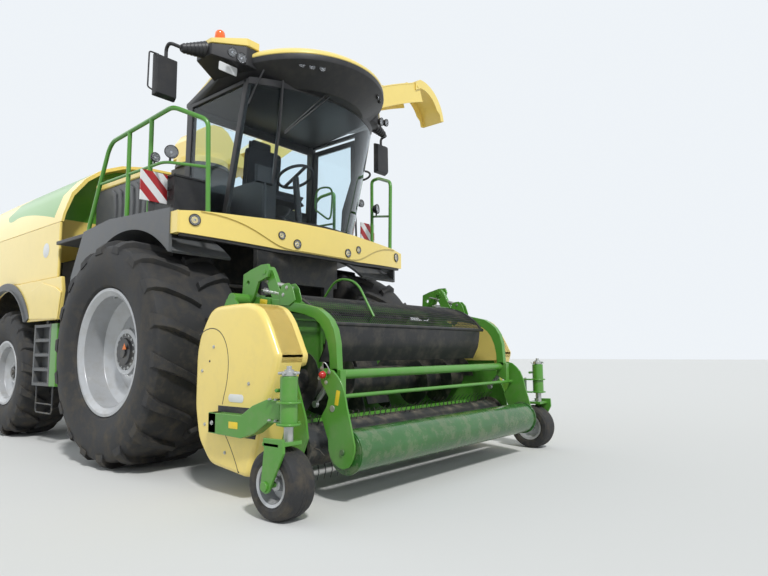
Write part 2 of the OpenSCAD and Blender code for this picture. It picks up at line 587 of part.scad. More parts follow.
// Header frame: back wall with the intake's window, trough, side plates and top tube
auger_x = 1690;
auger_z = 740;
reel_x = 2130;
reel_z = 350;
roller_x = 2553;
roller_z = 350;
arm_hinge = [1663, 1630];
module header_frame() color(leaf_green) {
    h = header_half_w;
    difference() {
        union() {
            translate([intake_front + seat_gap, -h, 330]) cube([50, 2 * h, 1050]);
            side_plate(concat(arc([auger_x, auger_z], auger_r + 25, 185, 300, 8), [[1880, 457], [1880, 434]],
                arc([auger_x, auger_z], auger_r + 50, 300, 185, 8)), -h, 2 * h);
        }
        translate([intake_front - 50, -330, 520]) cube([200, 660, 560]);
    }
    both_sides() side_plate([[1340, 330], [1340, 1380], [1800, 1380], [2300, 900], [2330, 500], [2200, 230], [1500, 230]], -h - plate_t, plate_t);
    translate([1440, -h, 1420]) rotate([-90, 0, 0]) cylinder(r = 50, h = 2 * h);
    both_sides() {
        translate([auger_x, -h - plate_t, auger_z]) rotate([-90, 0, 0]) cylinder(r = 30, h = plate_t + 60);
        translate([reel_x, -h - plate_t, reel_z]) rotate([-90, 0, 0]) cylinder(r = 25, h = plate_t + 60);
        side_plate([[1400, 1380], [1470, 1700], [1700, 1700], [arm_hinge[0] + 60, 1600], [1640, 1380]], -1250, 20);
    }
    both_sides() translate([arm_hinge[0], -1310, arm_hinge[1]]) rotate([-90, 0, 0]) cylinder(r = 22, h = 150);
}

// Yellow guards on both ends of the header
module header_shields() color(pale_yellow) both_sides() {
    shield = [[1400, 1380], [1600, 1395], [1960, 1350], [2400, 1170], [2555, 1060], [2575, 1000], [2530, 940], [2330, 920],
        [2230, 810], [2100, 630], [2060, 400], [1990, 160], [1540, 210], [1390, 370], [1335, 610], [1340, 1000]];
    inner = [[1430, 1340], [1600, 1355], [1945, 1312], [2380, 1135], [2500, 1045], [2510, 1000], [2490, 975], [2310, 955],
        [2200, 830], [2070, 650], [2030, 430], [1960, 200], [1560, 250], [1430, 385], [1375, 610], [1380, 1000]];
    difference() {
        side_plate(shield, -1620, 1620 - header_half_w - plate_t - seat_gap);
        side_plate(inner, -1590, 220);
        translate([1550, -1700, 440]) cube([110, 400, 160]);
    }
}

// Green carriers of the gauge wheels, reaching round the side guards
caster_x = 2517;
caster_y = 1724;
module gauge_beams() color(leaf_green) both_sides() difference() {
    union() {
        side_plate([[1640, 450], [1640, 590], [2010, 590], [2200, 700], [2380, 700], [2380, 590], [2060, 440]], -1700, 78);
        translate([1560, -1700, 450]) cube([90, 1700 - header_half_w - plate_t - seat_gap, 140]);
        translate([caster_x, -caster_y, 475]) cylinder(r = 55, h = 395);
        translate([2330, -1740, 560]) cube([150, 30, 140]);
    }
    translate([caster_x, -caster_y, 400]) cylinder(r = 30 + run_fit, h = 600);
}

// Caster: post in its sleeve, bridge over the tyre and one outer leg
gauge_x = 2445;
gauge_y = 1711;
module caster() color(leaf_green) {
    translate([caster_x, -caster_y, 450]) cylinder(r = 30, h = 450);
    translate([caster_x, -caster_y, 872]) cylinder(r = 48, h = 30);
    translate([gauge_x - 60, -gauge_y - gauge_w / 2 - 34, 448]) cube([180, gauge_w / 2 + 90, 24]);
    side_plate([[gauge_x - 60, 460], [gauge_x + 115, 460], [gauge_x + 115, 430], [gauge_x + 30, gauge_r - 30], [gauge_x - 30, gauge_r - 30]],
        -gauge_y - gauge_w / 2 - 34, 20);
    translate([gauge_x, -gauge_y - gauge_w / 2 - 20, gauge_r]) rotate([-90, 0, 0]) cylinder(r = 18, h = gauge_w / 2 + 60);
}

module gauge_wheel() {
    color(rubber) translate([gauge_x, -gauge_y, gauge_r]) rotate([90, 0, 0]) difference() {
        rotate_extrude($fn = 64) polygon([[19.05, -60], [60, -60], [60, -20], [95, -20], [95, -88], [150, -gauge_w / 2], [gauge_r - 25, -gauge_w / 2 + 4],
            [gauge_r, -60], [gauge_r, 60], [gauge_r - 25, gauge_w / 2 - 4], [150, gauge_w / 2], [95, 88], [95, 20], [60, 20], [60, 60], [19.05, 60]]);
        cylinder(r = 18 + run_fit, h = 200, center = true);
    }
}

// Auger with a flight of opposed hands towards the middle
module auger() color(dark_grey) translate([auger_x, 0, auger_z]) rotate([90, 0, 0]) difference() {
    union() {
        cylinder(r = auger_tube_r, h = 2 * header_half_w - 20, center = true, $fn = 48);
        for (y = [-1150:230:1150]) translate([0, 0, y]) cylinder(r = auger_r, h = 14, center = true, $fn = 64);
    }
    cylinder(r = 30 + run_fit, h = 3000, center = true);
}

module pickup_reel() color(dark_grey) translate([reel_x, 0, reel_z]) rotate([90, 0, 0]) difference() {
    union() {
        cylinder(r = reel_drum_r, h = 2 * header_half_w - 60, center = true, $fn = 48);
        for (y = [-1300:200:1300]) translate([0, 0, y]) cylinder(r = reel_r, h = 10, center = true, $fn = 48);
    }
    cylinder(r = 25 + run_fit, h = 3000, center = true);
}

// Press arms, hung on the header's brackets, with the tube that joins them
arm_y = 1210;
module press_arms() color(leaf_green) {
    both_sides() difference() {
        side_plate([[1610, 1590], [1640, 1690], [1700, 1690], [1790, 1560], [1990, 1500], [2200, 1350], [2370, 1120], [2430, 850], [2450, 560], [2590, 480],
            [2640, 350], [2553, 250], [2470, 330], [2430, 480], [2360, 600], [2350, 850], [2300, 1080], [2150, 1270], [1950, 1410], [1740, 1470]], -arm_y, 50);
        translate([arm_hinge[0], 0, arm_hinge[1]]) rotate([90, 0, 0]) cylinder(r = 22 + run_fit, h = 2000);
        translate([roller_x, 0, roller_z]) rotate([90, 0, 0]) cylinder(r = 20 + run_fit, h = 2000);
    }
    translate([2380, -arm_y, 848]) rotate([-90, 0, 0]) cylinder(r = 34, h = 2 * arm_y);
}

// Dark sheet that guides the crop, carried by the press arms
module wind_guard() color(black_paint) {
    difference() {
        side_plate([[1700, 1440], [1950, 1395], [2230, 1230], [2240, 1240], [1960, 1410], [1705, 1455]], -arm_y + 50 + seat_gap, 2 * arm_y - 100 - 2 * seat_gap);
    }
}

module press_roller() color(leaf_green) translate([roller_x, 0, roller_z]) rotate([90, 0, 0]) {
    cylinder(r = roller_r, h = 2 * arm_y - 120, center = true, $fn = 64);
    cylinder(r = 20, h = 2 * arm_y + 40, center = true);
}

// Lift cylinders between the front axle and the intake housing
barrel_x = 105;
barrel_y = 520;
barrel_z = 550;
rod_eye_x = 1150;
rod_eye_z = 620;
lift_len = norm([rod_eye_x - barrel_x, rod_eye_z - barrel_z]);
lift_a = atan2(rod_eye_z - barrel_z, rod_eye_x - barrel_x);
module lift_line() { translate([barrel_x, 0, barrel_z]) rotate([0, 90 - lift_a, 0]) children(); }
module lift_barrels() color(dark_grey) both_sides() difference() {
    union() {
        lift_line() translate([0, -barrel_y, 40]) cylinder(r = 48, h = 640);
        translate([barrel_x, -barrel_y + 50, barrel_z]) rotate([90, 0, 0]) cylinder(r = 48, h = 100);
    }
    translate([barrel_x, -barrel_y + 60, barrel_z]) rotate([90, 0, 0]) cylinder(r = 24 + run_fit, h = 120);
    lift_line() translate([0, -barrel_y, 90]) cylinder(r = 28 + run_fit, h = 700);
}
module lift_rods() color(silver) both_sides() difference() {
    union() {
        lift_line() translate([0, -barrel_y, 130]) cylinder(r = 28, h = lift_len - 130 - 30);
        translate([rod_eye_x, -barrel_y + 32, rod_eye_z]) rotate([90, 0, 0]) cylinder(r = 46, h = 64);
    }
    translate([rod_eye_x, -barrel_y + 60, rod_eye_z]) rotate([90, 0, 0]) cylinder(r = 28, h = 120);
}

main_frame();
front_axle();
rear_axle();
engine();
chopper_housing();
cab_floor();
cab_frame();
cab_glass();
cab_roof();
roof_wings();
seat();
controls();
mirrors();
front_panel();
front_fenders();
platforms();
railings();
tool_boxes();
side_louvers();
hood_shell();
rear_skirts();
rear_bumper();
steps();
hood_side();  // hood_side_r
mirror([0, 1, 0]) hood_side();  // hood_side_l
rear_door();
cab_door();
spout_base();
spout_boom();
spout_flap();
intake_housing();
header_frame();
header_shields();
gauge_beams();
auger();
pickup_reel();
press_arms();
wind_guard();
press_roller();
caster();  // caster_r
mirror([0, 1, 0]) caster();  // caster_l
gauge_wheel();  // gauge_wheel_r
mirror([0, 1, 0]) gauge_wheel();  // gauge_wheel_l
lift_barrels();
lift_rods();
at_front_r() tyre_front();  // tyre_front_r
at_front_r() rim_front();  // rim_front_r
at_front_l() tyre_front();  // tyre_front_l
at_front_l() rim_front();  // rim_front_l
knuckle();  // knuckle_r
mirror([0, 1, 0]) knuckle();  // knuckle_l
at_rear_r() tyre_rear();  // tyre_rear_r
at_rear_r() rim_rear();  // rim_rear_r
at_rear_l() tyre_rear();  // tyre_rear_l
at_rear_l() rim_rear();  // rim_rear_l
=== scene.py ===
"""Looks of a self-propelled forage harvester with a grass pick-up header.

Forward is +X, the machine's left is +Y, up is +Z, all in metres. The origin lies
on the ground under the middle of the front axle.
"""
import math

import bmesh
import bpy
from mathutils import Matrix, Vector


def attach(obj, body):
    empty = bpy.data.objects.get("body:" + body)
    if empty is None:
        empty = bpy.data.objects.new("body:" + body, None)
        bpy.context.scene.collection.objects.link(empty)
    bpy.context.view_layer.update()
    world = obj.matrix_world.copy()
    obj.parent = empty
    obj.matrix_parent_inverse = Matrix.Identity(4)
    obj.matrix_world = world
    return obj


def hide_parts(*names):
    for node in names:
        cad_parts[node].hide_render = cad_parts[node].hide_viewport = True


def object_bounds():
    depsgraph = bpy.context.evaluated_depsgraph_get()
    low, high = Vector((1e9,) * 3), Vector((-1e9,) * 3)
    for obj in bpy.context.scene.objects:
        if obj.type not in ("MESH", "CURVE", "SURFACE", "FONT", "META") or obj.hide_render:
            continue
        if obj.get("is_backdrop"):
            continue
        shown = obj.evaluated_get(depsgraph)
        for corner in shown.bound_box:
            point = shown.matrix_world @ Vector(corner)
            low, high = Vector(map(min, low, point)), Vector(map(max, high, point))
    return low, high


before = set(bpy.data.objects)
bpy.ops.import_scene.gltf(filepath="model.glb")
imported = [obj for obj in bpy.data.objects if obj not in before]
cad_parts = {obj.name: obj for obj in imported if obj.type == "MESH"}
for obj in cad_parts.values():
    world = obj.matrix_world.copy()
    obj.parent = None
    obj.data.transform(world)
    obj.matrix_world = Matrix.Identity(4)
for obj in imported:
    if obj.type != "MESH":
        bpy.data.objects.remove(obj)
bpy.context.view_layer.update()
scene = bpy.context.scene
scene.view_settings.view_transform = "Standard"

# Camera
# It stands low ahead of the header and to the machine's right, at knee to hip height,
# and looks back along the machine, a little upwards.
yaw, pitch, roll = (math.radians(a) for a in (129.687, 6.126, -0.41))
look = Vector((math.cos(yaw) * math.cos(pitch), math.sin(yaw) * math.cos(pitch), math.sin(pitch)))
level_right = look.cross(Vector((0, 0, 1))).normalized()
level_up = level_right.cross(look)
right = level_right * math.cos(roll) + level_up * math.sin(roll)
up = level_up * math.cos(roll) - level_right * math.sin(roll)
camera = bpy.data.objects.new("photo_camera", bpy.data.cameras.new("photo_camera"))
camera.data.sensor_width = 36.0
camera.data.lens = 36.0 * 589.8 / 768
camera.data.clip_end = 200
camera_turn = Matrix((right, up, -look)).transposed().to_4x4()
camera.matrix_world = Matrix.Translation((5.292, -4.154, 1.007)) @ camera_turn
scene.collection.objects.link(camera)
scene.camera = camera

# Studio
# A pale floor under a white sky, one broad sun from the camera's left and a weak
# fill from the far side, so that each colour shows about as it is written.
world = bpy.data.worlds.new("studio_sky")
scene.world = world
world.use_nodes = True
sky = world.node_tree
sky.nodes.clear()
sky_light = sky.nodes.new("ShaderNodeBackground")
sky_light.inputs["Color"].default_value = (0.86, 0.93, 1.0, 1)
sky_light.inputs["Strength"].default_value = 0.55
sky_seen = sky.nodes.new("ShaderNodeBackground")
sky_seen.inputs["Color"].default_value = (0.86, 0.90, 0.94, 1)
sky_seen.inputs["Strength"].default_value = 1.0
rays = sky.nodes.new("ShaderNodeLightPath")
seen_a = sky.nodes.new("ShaderNodeMath")
seen_a.operation = "MAXIMUM"
seen_b = sky.nodes.new("ShaderNodeMath")
seen_b.operation = "MAXIMUM"
sky.links.new(rays.outputs["Is Camera Ray"], seen_a.inputs[0])
sky.links.new(rays.outputs["Is Glossy Ray"], seen_a.inputs[1])
sky.links.new(seen_a.outputs[0], seen_b.inputs[0])
sky.links.new(rays.outputs["Is Transmission Ray"], seen_b.inputs[1])
sky_mix = sky.nodes.new("ShaderNodeMixShader")
sky.links.new(seen_b.outputs[0], sky_mix.inputs["Fac"])
sky.links.new(sky_light.outputs[0], sky_mix.inputs[1])
sky.links.new(sky_seen.outputs[0], sky_mix.inputs[2])
sky_out = sky.nodes.new("ShaderNodeOutputWorld")
sky.links.new(sky_mix.outputs[0], sky_out.inputs["Surface"])

for name, strength, spread, tilt, turn in (("sun", 2.3, 6, 42, 62), ("fill", 0.5, 60, 55, -70)):
    lamp = bpy.data.objects.new(name, bpy.data.lights.new(name, "SUN"))
    lamp.data.energy = strength
    lamp.data.angle = math.radians(spread)
    lamp.rotation_euler = (math.radians(tilt), 0, math.radians(turn))
    scene.collection.objects.link(lamp)

floor_mesh = bpy.data.meshes.new("floor")
floor_mesh.from_pydata([(-60, -60, 0), (60, -60, 0), (60, 60, 0), (-60, 60, 0)], [], [(0, 1, 2, 3)])
floor = bpy.data.objects.new("floor", floor_mesh)
scene.collection.objects.link(floor)
floor_paint = bpy.data.materials.new("pale_floor")
floor_paint.use_nodes = True
floor_paint.node_tree.nodes["Principled BSDF"].inputs["Base Color"].default_value = (0.66, 0.66, 0.64, 1)
floor_paint.node_tree.nodes["Principled BSDF"].inputs["Roughness"].default_value = 0.95
floor_mesh.materials.append(floor_paint)
floor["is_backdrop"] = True

# Frame, axles and engine
# Welded box rails, cast axles and the engine block, all in dark satin paint with
# dust that gathers low down. The paint's group is shared by every painted piece.
def weathering_group():
    """Paint with broad mottle, fine grain, and patches of dust that thin out with height."""
    group = bpy.data.node_groups.new("weathering", "ShaderNodeTree")
    face = group.interface
    for socket, kind, value in (("Paint", "NodeSocketColor", (0.5, 0.5, 0.5, 1)),
                                ("Dust", "NodeSocketColor", (0.30, 0.26, 0.19, 1)),
                                ("Dust Amount", "NodeSocketFloat", 0.3),
                                ("Roughness", "NodeSocketFloat", 0.4),
                                ("Grain Scale", "NodeSocketFloat", 160.0),
                                ("Mottle", "NodeSocketFloat", 0.08)):
        made = face.new_socket(name=socket, in_out="INPUT", socket_type=kind)
        made.default_value = value
    for socket, kind in (("Color", "NodeSocketColor"), ("Roughness", "NodeSocketFloat"),
                         ("Height", "NodeSocketFloat")):
        face.new_socket(name=socket, in_out="OUTPUT", socket_type=kind)
    n, link = group.nodes, group.links.new
    gives, takes = n.new("NodeGroupInput"), n.new("NodeGroupOutput")
    place = n.new("ShaderNodeTexCoord")
    broad = n.new("ShaderNodeTexNoise")
    broad.inputs["Scale"].default_value = 1.7
    broad.inputs["Detail"].default_value = 5
    patches = n.new("ShaderNodeTexNoise")
    patches.inputs["Scale"].default_value = 9.0
    patches.inputs["Detail"].default_value = 9
    patches.inputs["Roughness"].default_value = 0.65
    grain = n.new("ShaderNodeTexNoise")
    grain.inputs["Detail"].default_value = 3
    for noise in (broad, patches, grain):
        link(place.outputs["Object"], noise.inputs["Vector"])
    link(gives.outputs["Grain Scale"], grain.inputs["Scale"])
    split = n.new("ShaderNodeSeparateXYZ")
    link(place.outputs["Object"], split.inputs[0])
    low = n.new("ShaderNodeMapRange")
    low.inputs["From Min"].default_value = 0.1
    low.inputs["From Max"].default_value = 2.6
    low.inputs["To Min"].default_value = 1.3
    low.inputs["To Max"].default_value = 0.25
    link(split.outputs["Z"], low.inputs["Value"])
    mask = n.new("ShaderNodeMapRange")
    mask.inputs["From Min"].default_value = 0.46
    mask.inputs["From Max"].default_value = 0.72
    link(patches.outputs["Fac"], mask.inputs["Value"])
    amount = n.new("ShaderNodeMath")
    amount.operation = "MULTIPLY"
    link(mask.outputs[0], amount.inputs[0])
    link(low.outputs[0], amount.inputs[1])
    dust = n.new("ShaderNodeMath")
    dust.operation = "MULTIPLY"
    dust.use_clamp = True
    link(amount.outputs[0], dust.inputs[0])
    link(gives.outputs["Dust Amount"], dust.inputs[1])
    shade = n.new("ShaderNodeMapRange")
    shade.inputs["From Min"].default_value = 0.3
    shade.inputs["From Max"].default_value = 0.7
    shade.inputs["To Max"].default_value = 1.0
    link(broad.outputs["Fac"], shade.inputs["Value"])
    darkest = n.new("ShaderNodeMath")
    darkest.operation = "SUBTRACT"
    darkest.inputs[0].default_value = 1.0
    link(gives.outputs["Mottle"], darkest.inputs[1])
    link(darkest.outputs[0], shade.inputs["To Min"])
    toned = n.new("ShaderNodeVectorMath")
    toned.operation = "SCALE"
    link(gives.outputs["Paint"], toned.inputs[0])
    link(shade.outputs[0], toned.inputs["Scale"])
    dusty = n.new("ShaderNodeMix")
    dusty.data_type = "RGBA"
    link(dust.outputs[0], dusty.inputs["Factor"])
    link(toned.outputs[0], dusty.inputs["A"])
    link(gives.outputs["Dust"], dusty.inputs["B"])
    link(dusty.outputs["Result"], takes.inputs["Color"])
    duller = n.new("ShaderNodeMath")
    duller.operation = "MULTIPLY_ADD"
    duller.inputs[1].default_value = 0.45
    link(dust.outputs[0], duller.inputs[0])
    link(gives.outputs["Roughness"], duller.inputs[2])
    link(duller.outputs[0], takes.inputs["Roughness"])
    link(grain.outputs["Fac"], takes.inputs["Height"])
    return group


weathering = weathering_group()


def painted(name, colour, roughness=0.35, dust=0.3, grain=160.0, bump=0.02, metallic=0.0, coat=0.0,
            dust_colour=(0.30, 0.26, 0.19, 1), mottle=0.08):
    """A finish made from the weathering group, with its own colour, gloss and dust."""
    material = bpy.data.materials.new(name)
    material.use_nodes = True
    tree = material.node_tree
    shader = tree.nodes["Principled BSDF"]
    shader.inputs["Metallic"].default_value = metallic
    shader.inputs["Coat Weight"].default_value = coat
    shader.inputs["Coat Roughness"].default_value = 0.12
    worn = tree.nodes.new("ShaderNodeGroup")
    worn.node_tree = weathering
    worn.inputs["Paint"].default_value = (*colour, 1)
    worn.inputs["Dust"].default_value = dust_colour
    worn.inputs["Dust Amount"].default_value = dust
    worn.inputs["Roughness"].default_value = roughness
    worn.inputs["Grain Scale"].default_value = grain
    worn.inputs["Mottle"].default_value = mottle
    height = tree.nodes.new("ShaderNodeBump")
    height.inputs["Strength"].default_value = bump
    height.inputs["Distance"].default_value = 0.01
    tree.links.new(worn.outputs["Color"], shader.inputs["Base Color"])
    tree.links.new(worn.outputs["Roughness"], shader.inputs["Roughness"])
    tree.links.new(worn.outputs["Height"], height.inputs["Height"])
    tree.links.new(height.outputs["Normal"], shader.inputs["Normal"])
    return material


def shaded(mesh, angle):
    """Smooth faces, with the edges sharper than the angle kept crisp."""
    bm = bmesh.new()
    bm.from_mesh(mesh)
    for f in bm.faces:
        f.smooth = True
    for e in bm.edges:
        e.smooth = len(e.link_faces) == 2 and e.calc_face_angle(0) < math.radians(angle)
    bm.to_mesh(mesh)
    bm.free()


# Edges sharper than this, in degrees, are rounded and drawn crisp
crisp_angle = 28


def softened(node, body, width, material):
    """A copy of a CAD node with its doubles merged and its edges rounded, which stands for the node."""
    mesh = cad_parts[node].data.copy()
    mesh.materials.clear()
    mesh.materials.append(material)
    bm = bmesh.new()
    bm.from_mesh(mesh)
    bmesh.ops.remove_doubles(bm, verts=bm.verts, dist=0.0004)
    bmesh.ops.dissolve_degenerate(bm, edges=bm.edges, dist=0.0002)
    for f in bm.faces:
        f.material_index = 0
    bmesh.ops.dissolve_limit(bm, angle_limit=math.radians(0.6), verts=bm.verts, edges=bm.edges,
                             delimit={"MATERIAL"})
    bm.to_mesh(mesh)
    bm.free()
    shaded(mesh, crisp_angle)
    piece = bpy.data.objects.new(node + "_finished", mesh)
    scene.collection.objects.link(piece)
    bevel = piece.modifiers.new("edge", "BEVEL")
    bevel.width = width
    bevel.segments = 2
    bevel.limit_method = "ANGLE"
    bevel.angle_limit = math.radians(crisp_angle)
    bevel.use_clamp_overlap = True
    bevel.miter_outer = "MITER_ARC"
    normals = piece.modifiers.new("normals", "WEIGHTED_NORMAL")
    normals.keep_sharp = False
    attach(piece, body)
    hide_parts(node)
    return piece


def finished(name, mesh, body, material):
    """A mesh made here, as a piece on its body."""
    mesh.materials.clear()
    mesh.materials.append(material)
    piece = bpy.data.objects.new(name, mesh)
    scene.collection.objects.link(piece)
    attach(piece, body)
    return piece


def bolt_tree():
    """Hexagon heads on washers, stood on points along the direction that each point carries."""
    tree = bpy.data.node_groups.new("bolts_on_points", "GeometryNodeTree")
    face = tree.interface
    face.new_socket(name="Points", in_out="INPUT", socket_type="NodeSocketGeometry")
    for socket, value in (("Head Radius", 0.012), ("Head Height", 0.008), ("Washer Radius", 0.017)):
        face.new_socket(name=socket, in_out="INPUT", socket_type="NodeSocketFloat").default_value = value
    face.new_socket(name="Finish", in_out="INPUT", socket_type="NodeSocketMaterial")
    face.new_socket(name="Bolts", in_out="OUTPUT", socket_type="NodeSocketGeometry")
    n, link = tree.nodes, tree.links.new
    gives, takes = n.new("NodeGroupInput"), n.new("NodeGroupOutput")
    head = n.new("GeometryNodeMeshCylinder")
    head.inputs["Vertices"].default_value = 6
    washer = n.new("GeometryNodeMeshCylinder")
    washer.inputs["Vertices"].default_value = 20
    washer.inputs["Depth"].default_value = 0.003
    link(gives.outputs["Head Radius"], head.inputs["Radius"])
    link(gives.outputs["Head Height"], head.inputs["Depth"])
    link(gives.outputs["Washer Radius"], washer.inputs["Radius"])
    lifted = n.new("GeometryNodeTransform")
    lift = n.new("ShaderNodeCombineXYZ")
    half = n.new("ShaderNodeMath")
    half.operation = "MULTIPLY_ADD"
    half.inputs[1].default_value = 0.5
    half.inputs[2].default_value = 0.001
    link(gives.outputs["Head Height"], half.inputs[0])
    link(half.outputs[0], lift.inputs["Z"])
    link(head.outputs["Mesh"], lifted.inputs["Geometry"])
    link(lift.outputs[0], lifted.inputs["Translation"])
    joined = n.new("GeometryNodeJoinGeometry")
    link(lifted.outputs[0], joined.inputs[0])
    link(washer.outputs["Mesh"], joined.inputs[0])
    facing = n.new("GeometryNodeInputNamedAttribute")
    facing.data_type = "FLOAT_VECTOR"
    facing.inputs["Name"].default_value = "facing"
    aligned = n.new("FunctionNodeAlignRotationToVector")
    aligned.axis = "Z"
    link(facing.outputs["Attribute"], aligned.inputs["Vector"])
    placed = n.new("GeometryNodeInstanceOnPoints")
    link(gives.outputs["Points"], placed.inputs["Points"])
    link(joined.outputs[0], placed.inputs["Instance"])
    link(aligned.outputs[0], placed.inputs["Rotation"])
    real = n.new("GeometryNodeRealizeInstances")
    link(placed.outputs[0], real.inputs[0])
    dressed = n.new("GeometryNodeSetMaterial")
    link(real.outputs[0], dressed.inputs["Geometry"])
    link(gives.outputs["Finish"], dressed.inputs["Material"])
    link(dressed.outputs[0], takes.inputs[0])
    return tree


bolts_on_points = bolt_tree()


def by_rule(name, tree, carrier_mesh, body, material, slot, **sizes):
    """The mesh that a Geometry Nodes tree makes from a carrier mesh and its named sizes."""
    carrier = bpy.data.objects.new(name + "_carrier", carrier_mesh)
    scene.collection.objects.link(carrier)
    rule = carrier.modifiers.new("rule", "NODES")
    rule.node_group = tree
    for socket in tree.interface.items_tree:
        key = socket.name.lower().replace(" ", "_")
        if socket.in_out == "INPUT" and key in sizes:
            rule[socket.identifier] = sizes[key]
        if socket.in_out == "INPUT" and socket.name == "Finish":
            rule[socket.identifier] = material
    mesh = bpy.data.meshes.new_from_object(carrier.evaluated_get(bpy.context.evaluated_depsgraph_get()))
    bpy.data.objects.remove(carrier)
    mesh.name = name
    shaded(mesh, 35)
    return finished(name, mesh, body, material)


def bolts(name, spots, body, material, slot, radius=0.012):
    """Bolt heads at (place, facing) pairs."""
    dots = bpy.data.meshes.new(name + "_spots")
    dots.from_pydata([place for place, _ in spots], [], [])
    facing = dots.attributes.new("facing", "FLOAT_VECTOR", "POINT")
    for i, (_, way) in enumerate(spots):
        facing.data[i].vector = way
    return by_rule(name, bolts_on_points, dots, body, material, slot, head_radius=radius,
                   head_height=radius * 0.65, washer_radius=radius * 1.45)


chassis_paint = painted("chassis_paint", (0.045, 0.047, 0.05), 0.5, 0.55)
underside_paint = painted("underside_paint", (0.02, 0.02, 0.022), 0.55, 0.45)
for node, body, width in (("main_frame", "chassis", 0.006), ("rear_axle", "chassis", 0.008),
                          ("front_axle", "chassis", 0.012), ("knuckle_r", "knuckle_r", 0.006),
                          ("knuckle_l", "knuckle_l", 0.006), ("rear_bumper", "chassis", 0.012),
                          ("engine", "chassis", 0.02), ("chopper_housing", "chassis", 0.01),
                          ("intake_housing", "header", 0.01), ("lift_barrels", "barrels", 0.004)):
    softened(node, body, width, chassis_paint if node != "intake_housing" else underside_paint)

bright_steel = painted("bright_steel", (0.62, 0.62, 0.60), 0.28, 0.1, metallic=1.0, bump=0.01)
softened("lift_rods", "rods", 0.002, bright_steel)
zinc_plate = painted("zinc_plate", (0.50, 0.51, 0.50), 0.35, 0.2, metallic=0.7, bump=0.03)
bolts("axle_bolts", [((0.2 * math.cos(t) * 0.9, side * 1.06, 1.02 + 0.2 * math.sin(t) * 0.9), (0, side, 0))
                     for side in (-1, 1) for t in (math.tau * i / 12 for i in range(12))],
      "chassis", zinc_plate, "steel", 0.014)

# Wheels
# Lugged black tyres on deep silver rims, with a black planetary hub and a ring of nuts.
# The gauge wheels are small smooth tyres on dished silver rims.
def built(name, bm, body, nodes, width, material, both=False, regions=(), angle=28, segments=2,
          mirror=False):
    """A piece drawn in millimetres, with its edges rounded; it stands for the CAD nodes named."""
    bm.transform(Matrix.Scale(0.001, 4))
    if both:
        twin = bmesh.ops.duplicate(bm, geom=list(bm.verts) + list(bm.edges) + list(bm.faces))
        for v in (g for g in twin["geom"] if isinstance(g, bmesh.types.BMVert)):
            v.co.y *= -1
    if mirror:
        bm.transform(Matrix.Scale(-1, 4, (0, 1, 0)))
    bmesh.ops.recalc_face_normals(bm, faces=bm.faces)
    mesh = bpy.data.meshes.new(name)
    for paint in (material, *(pair[0] for pair in regions)):
        mesh.materials.append(paint)
    for f in bm.faces:
        middle = f.calc_center_median()
        for i, (_, test) in enumerate(regions):
            if test(middle):
                f.material_index = i + 1
    bm.to_mesh(mesh)
    bm.free()
    shaded(mesh, angle)
    piece = bpy.data.objects.new(name, mesh)
    scene.collection.objects.link(piece)
    if width:
        bevel = piece.modifiers.new("edge", "BEVEL")
        bevel.width = width
        bevel.segments = segments
        bevel.limit_method = "ANGLE"
        bevel.angle_limit = math.radians(angle)
        bevel.use_clamp_overlap = True
        normals = piece.modifiers.new("normals", "WEIGHTED_NORMAL")
        normals.keep_sharp = False
    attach(piece, body)
    for node in nodes:
        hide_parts(node)
    return piece


def turned(name, profile, place, towards, body, material, steps=40, angle=30, loop=False):
    """A piece turned on a lathe, from (radius, height) pairs from axis to axis, or round a loop."""
    bm = bmesh.new()
    rings = []
    for radius, height in profile:
        count = 1 if radius < 1e-6 else steps
        rings.append([bm.verts.new((radius * math.cos(2 * math.pi * i / steps),
                                    radius * math.sin(2 * math.pi * i / steps), height))
                      for i in range(count)])
    for low, high in zip(rings, rings[1:] + (rings[:1] if loop else [])):
        for i in range(steps):
            corners = list(dict.fromkeys((low[i % len(low)], low[(i + 1) % len(low)],
                                          high[(i + 1) % len(high)], high[i % len(high)])))
            if len(corners) > 2:
                bm.faces.new(corners)
    bmesh.ops.recalc_face_normals(bm, faces=bm.faces)
    bm.transform(Matrix.Translation(place) @ Vector(towards).to_track_quat("Z", "Y").to_matrix().to_4x4())
    mesh = bpy.data.meshes.new(name)
    bm.to_mesh(mesh)
    bm.free()
    shaded(mesh, angle)
    return finished(name, mesh, body, material)


def stood(place, across, along):
    """The frame of a flat piece: its outline's two directions, and the way that its face looks."""
    x = Vector(across).normalized()
    z = x.cross(Vector(along)).normalized()
    return Matrix.Translation(place) @ Matrix((x, z.cross(x), z)).transposed().to_4x4()


def plate(name, outline, where, thick, body, material, edge=0.002):
    """A flat piece cut to an outline and rounded at its edges, up to thick from the frame's plane."""
    bm = bmesh.new()
    face = bm.faces.new([bm.verts.new((x, y, 0)) for x, y in outline])
    grown = bmesh.ops.extrude_face_region(bm, geom=[face])
    for v in (g for g in grown["geom"] if isinstance(g, bmesh.types.BMVert)):
        v.co.z += thick
    bmesh.ops.recalc_face_normals(bm, faces=bm.faces)
    if edge:
        bmesh.ops.bevel(bm, geom=list(bm.edges), offset=edge, segments=2, affect="EDGES", profile=0.6)
    bm.transform(where)
    mesh = bpy.data.meshes.new(name)
    bm.to_mesh(mesh)
    bm.free()
    shaded(mesh, 35)
    return finished(name, mesh, body, material)


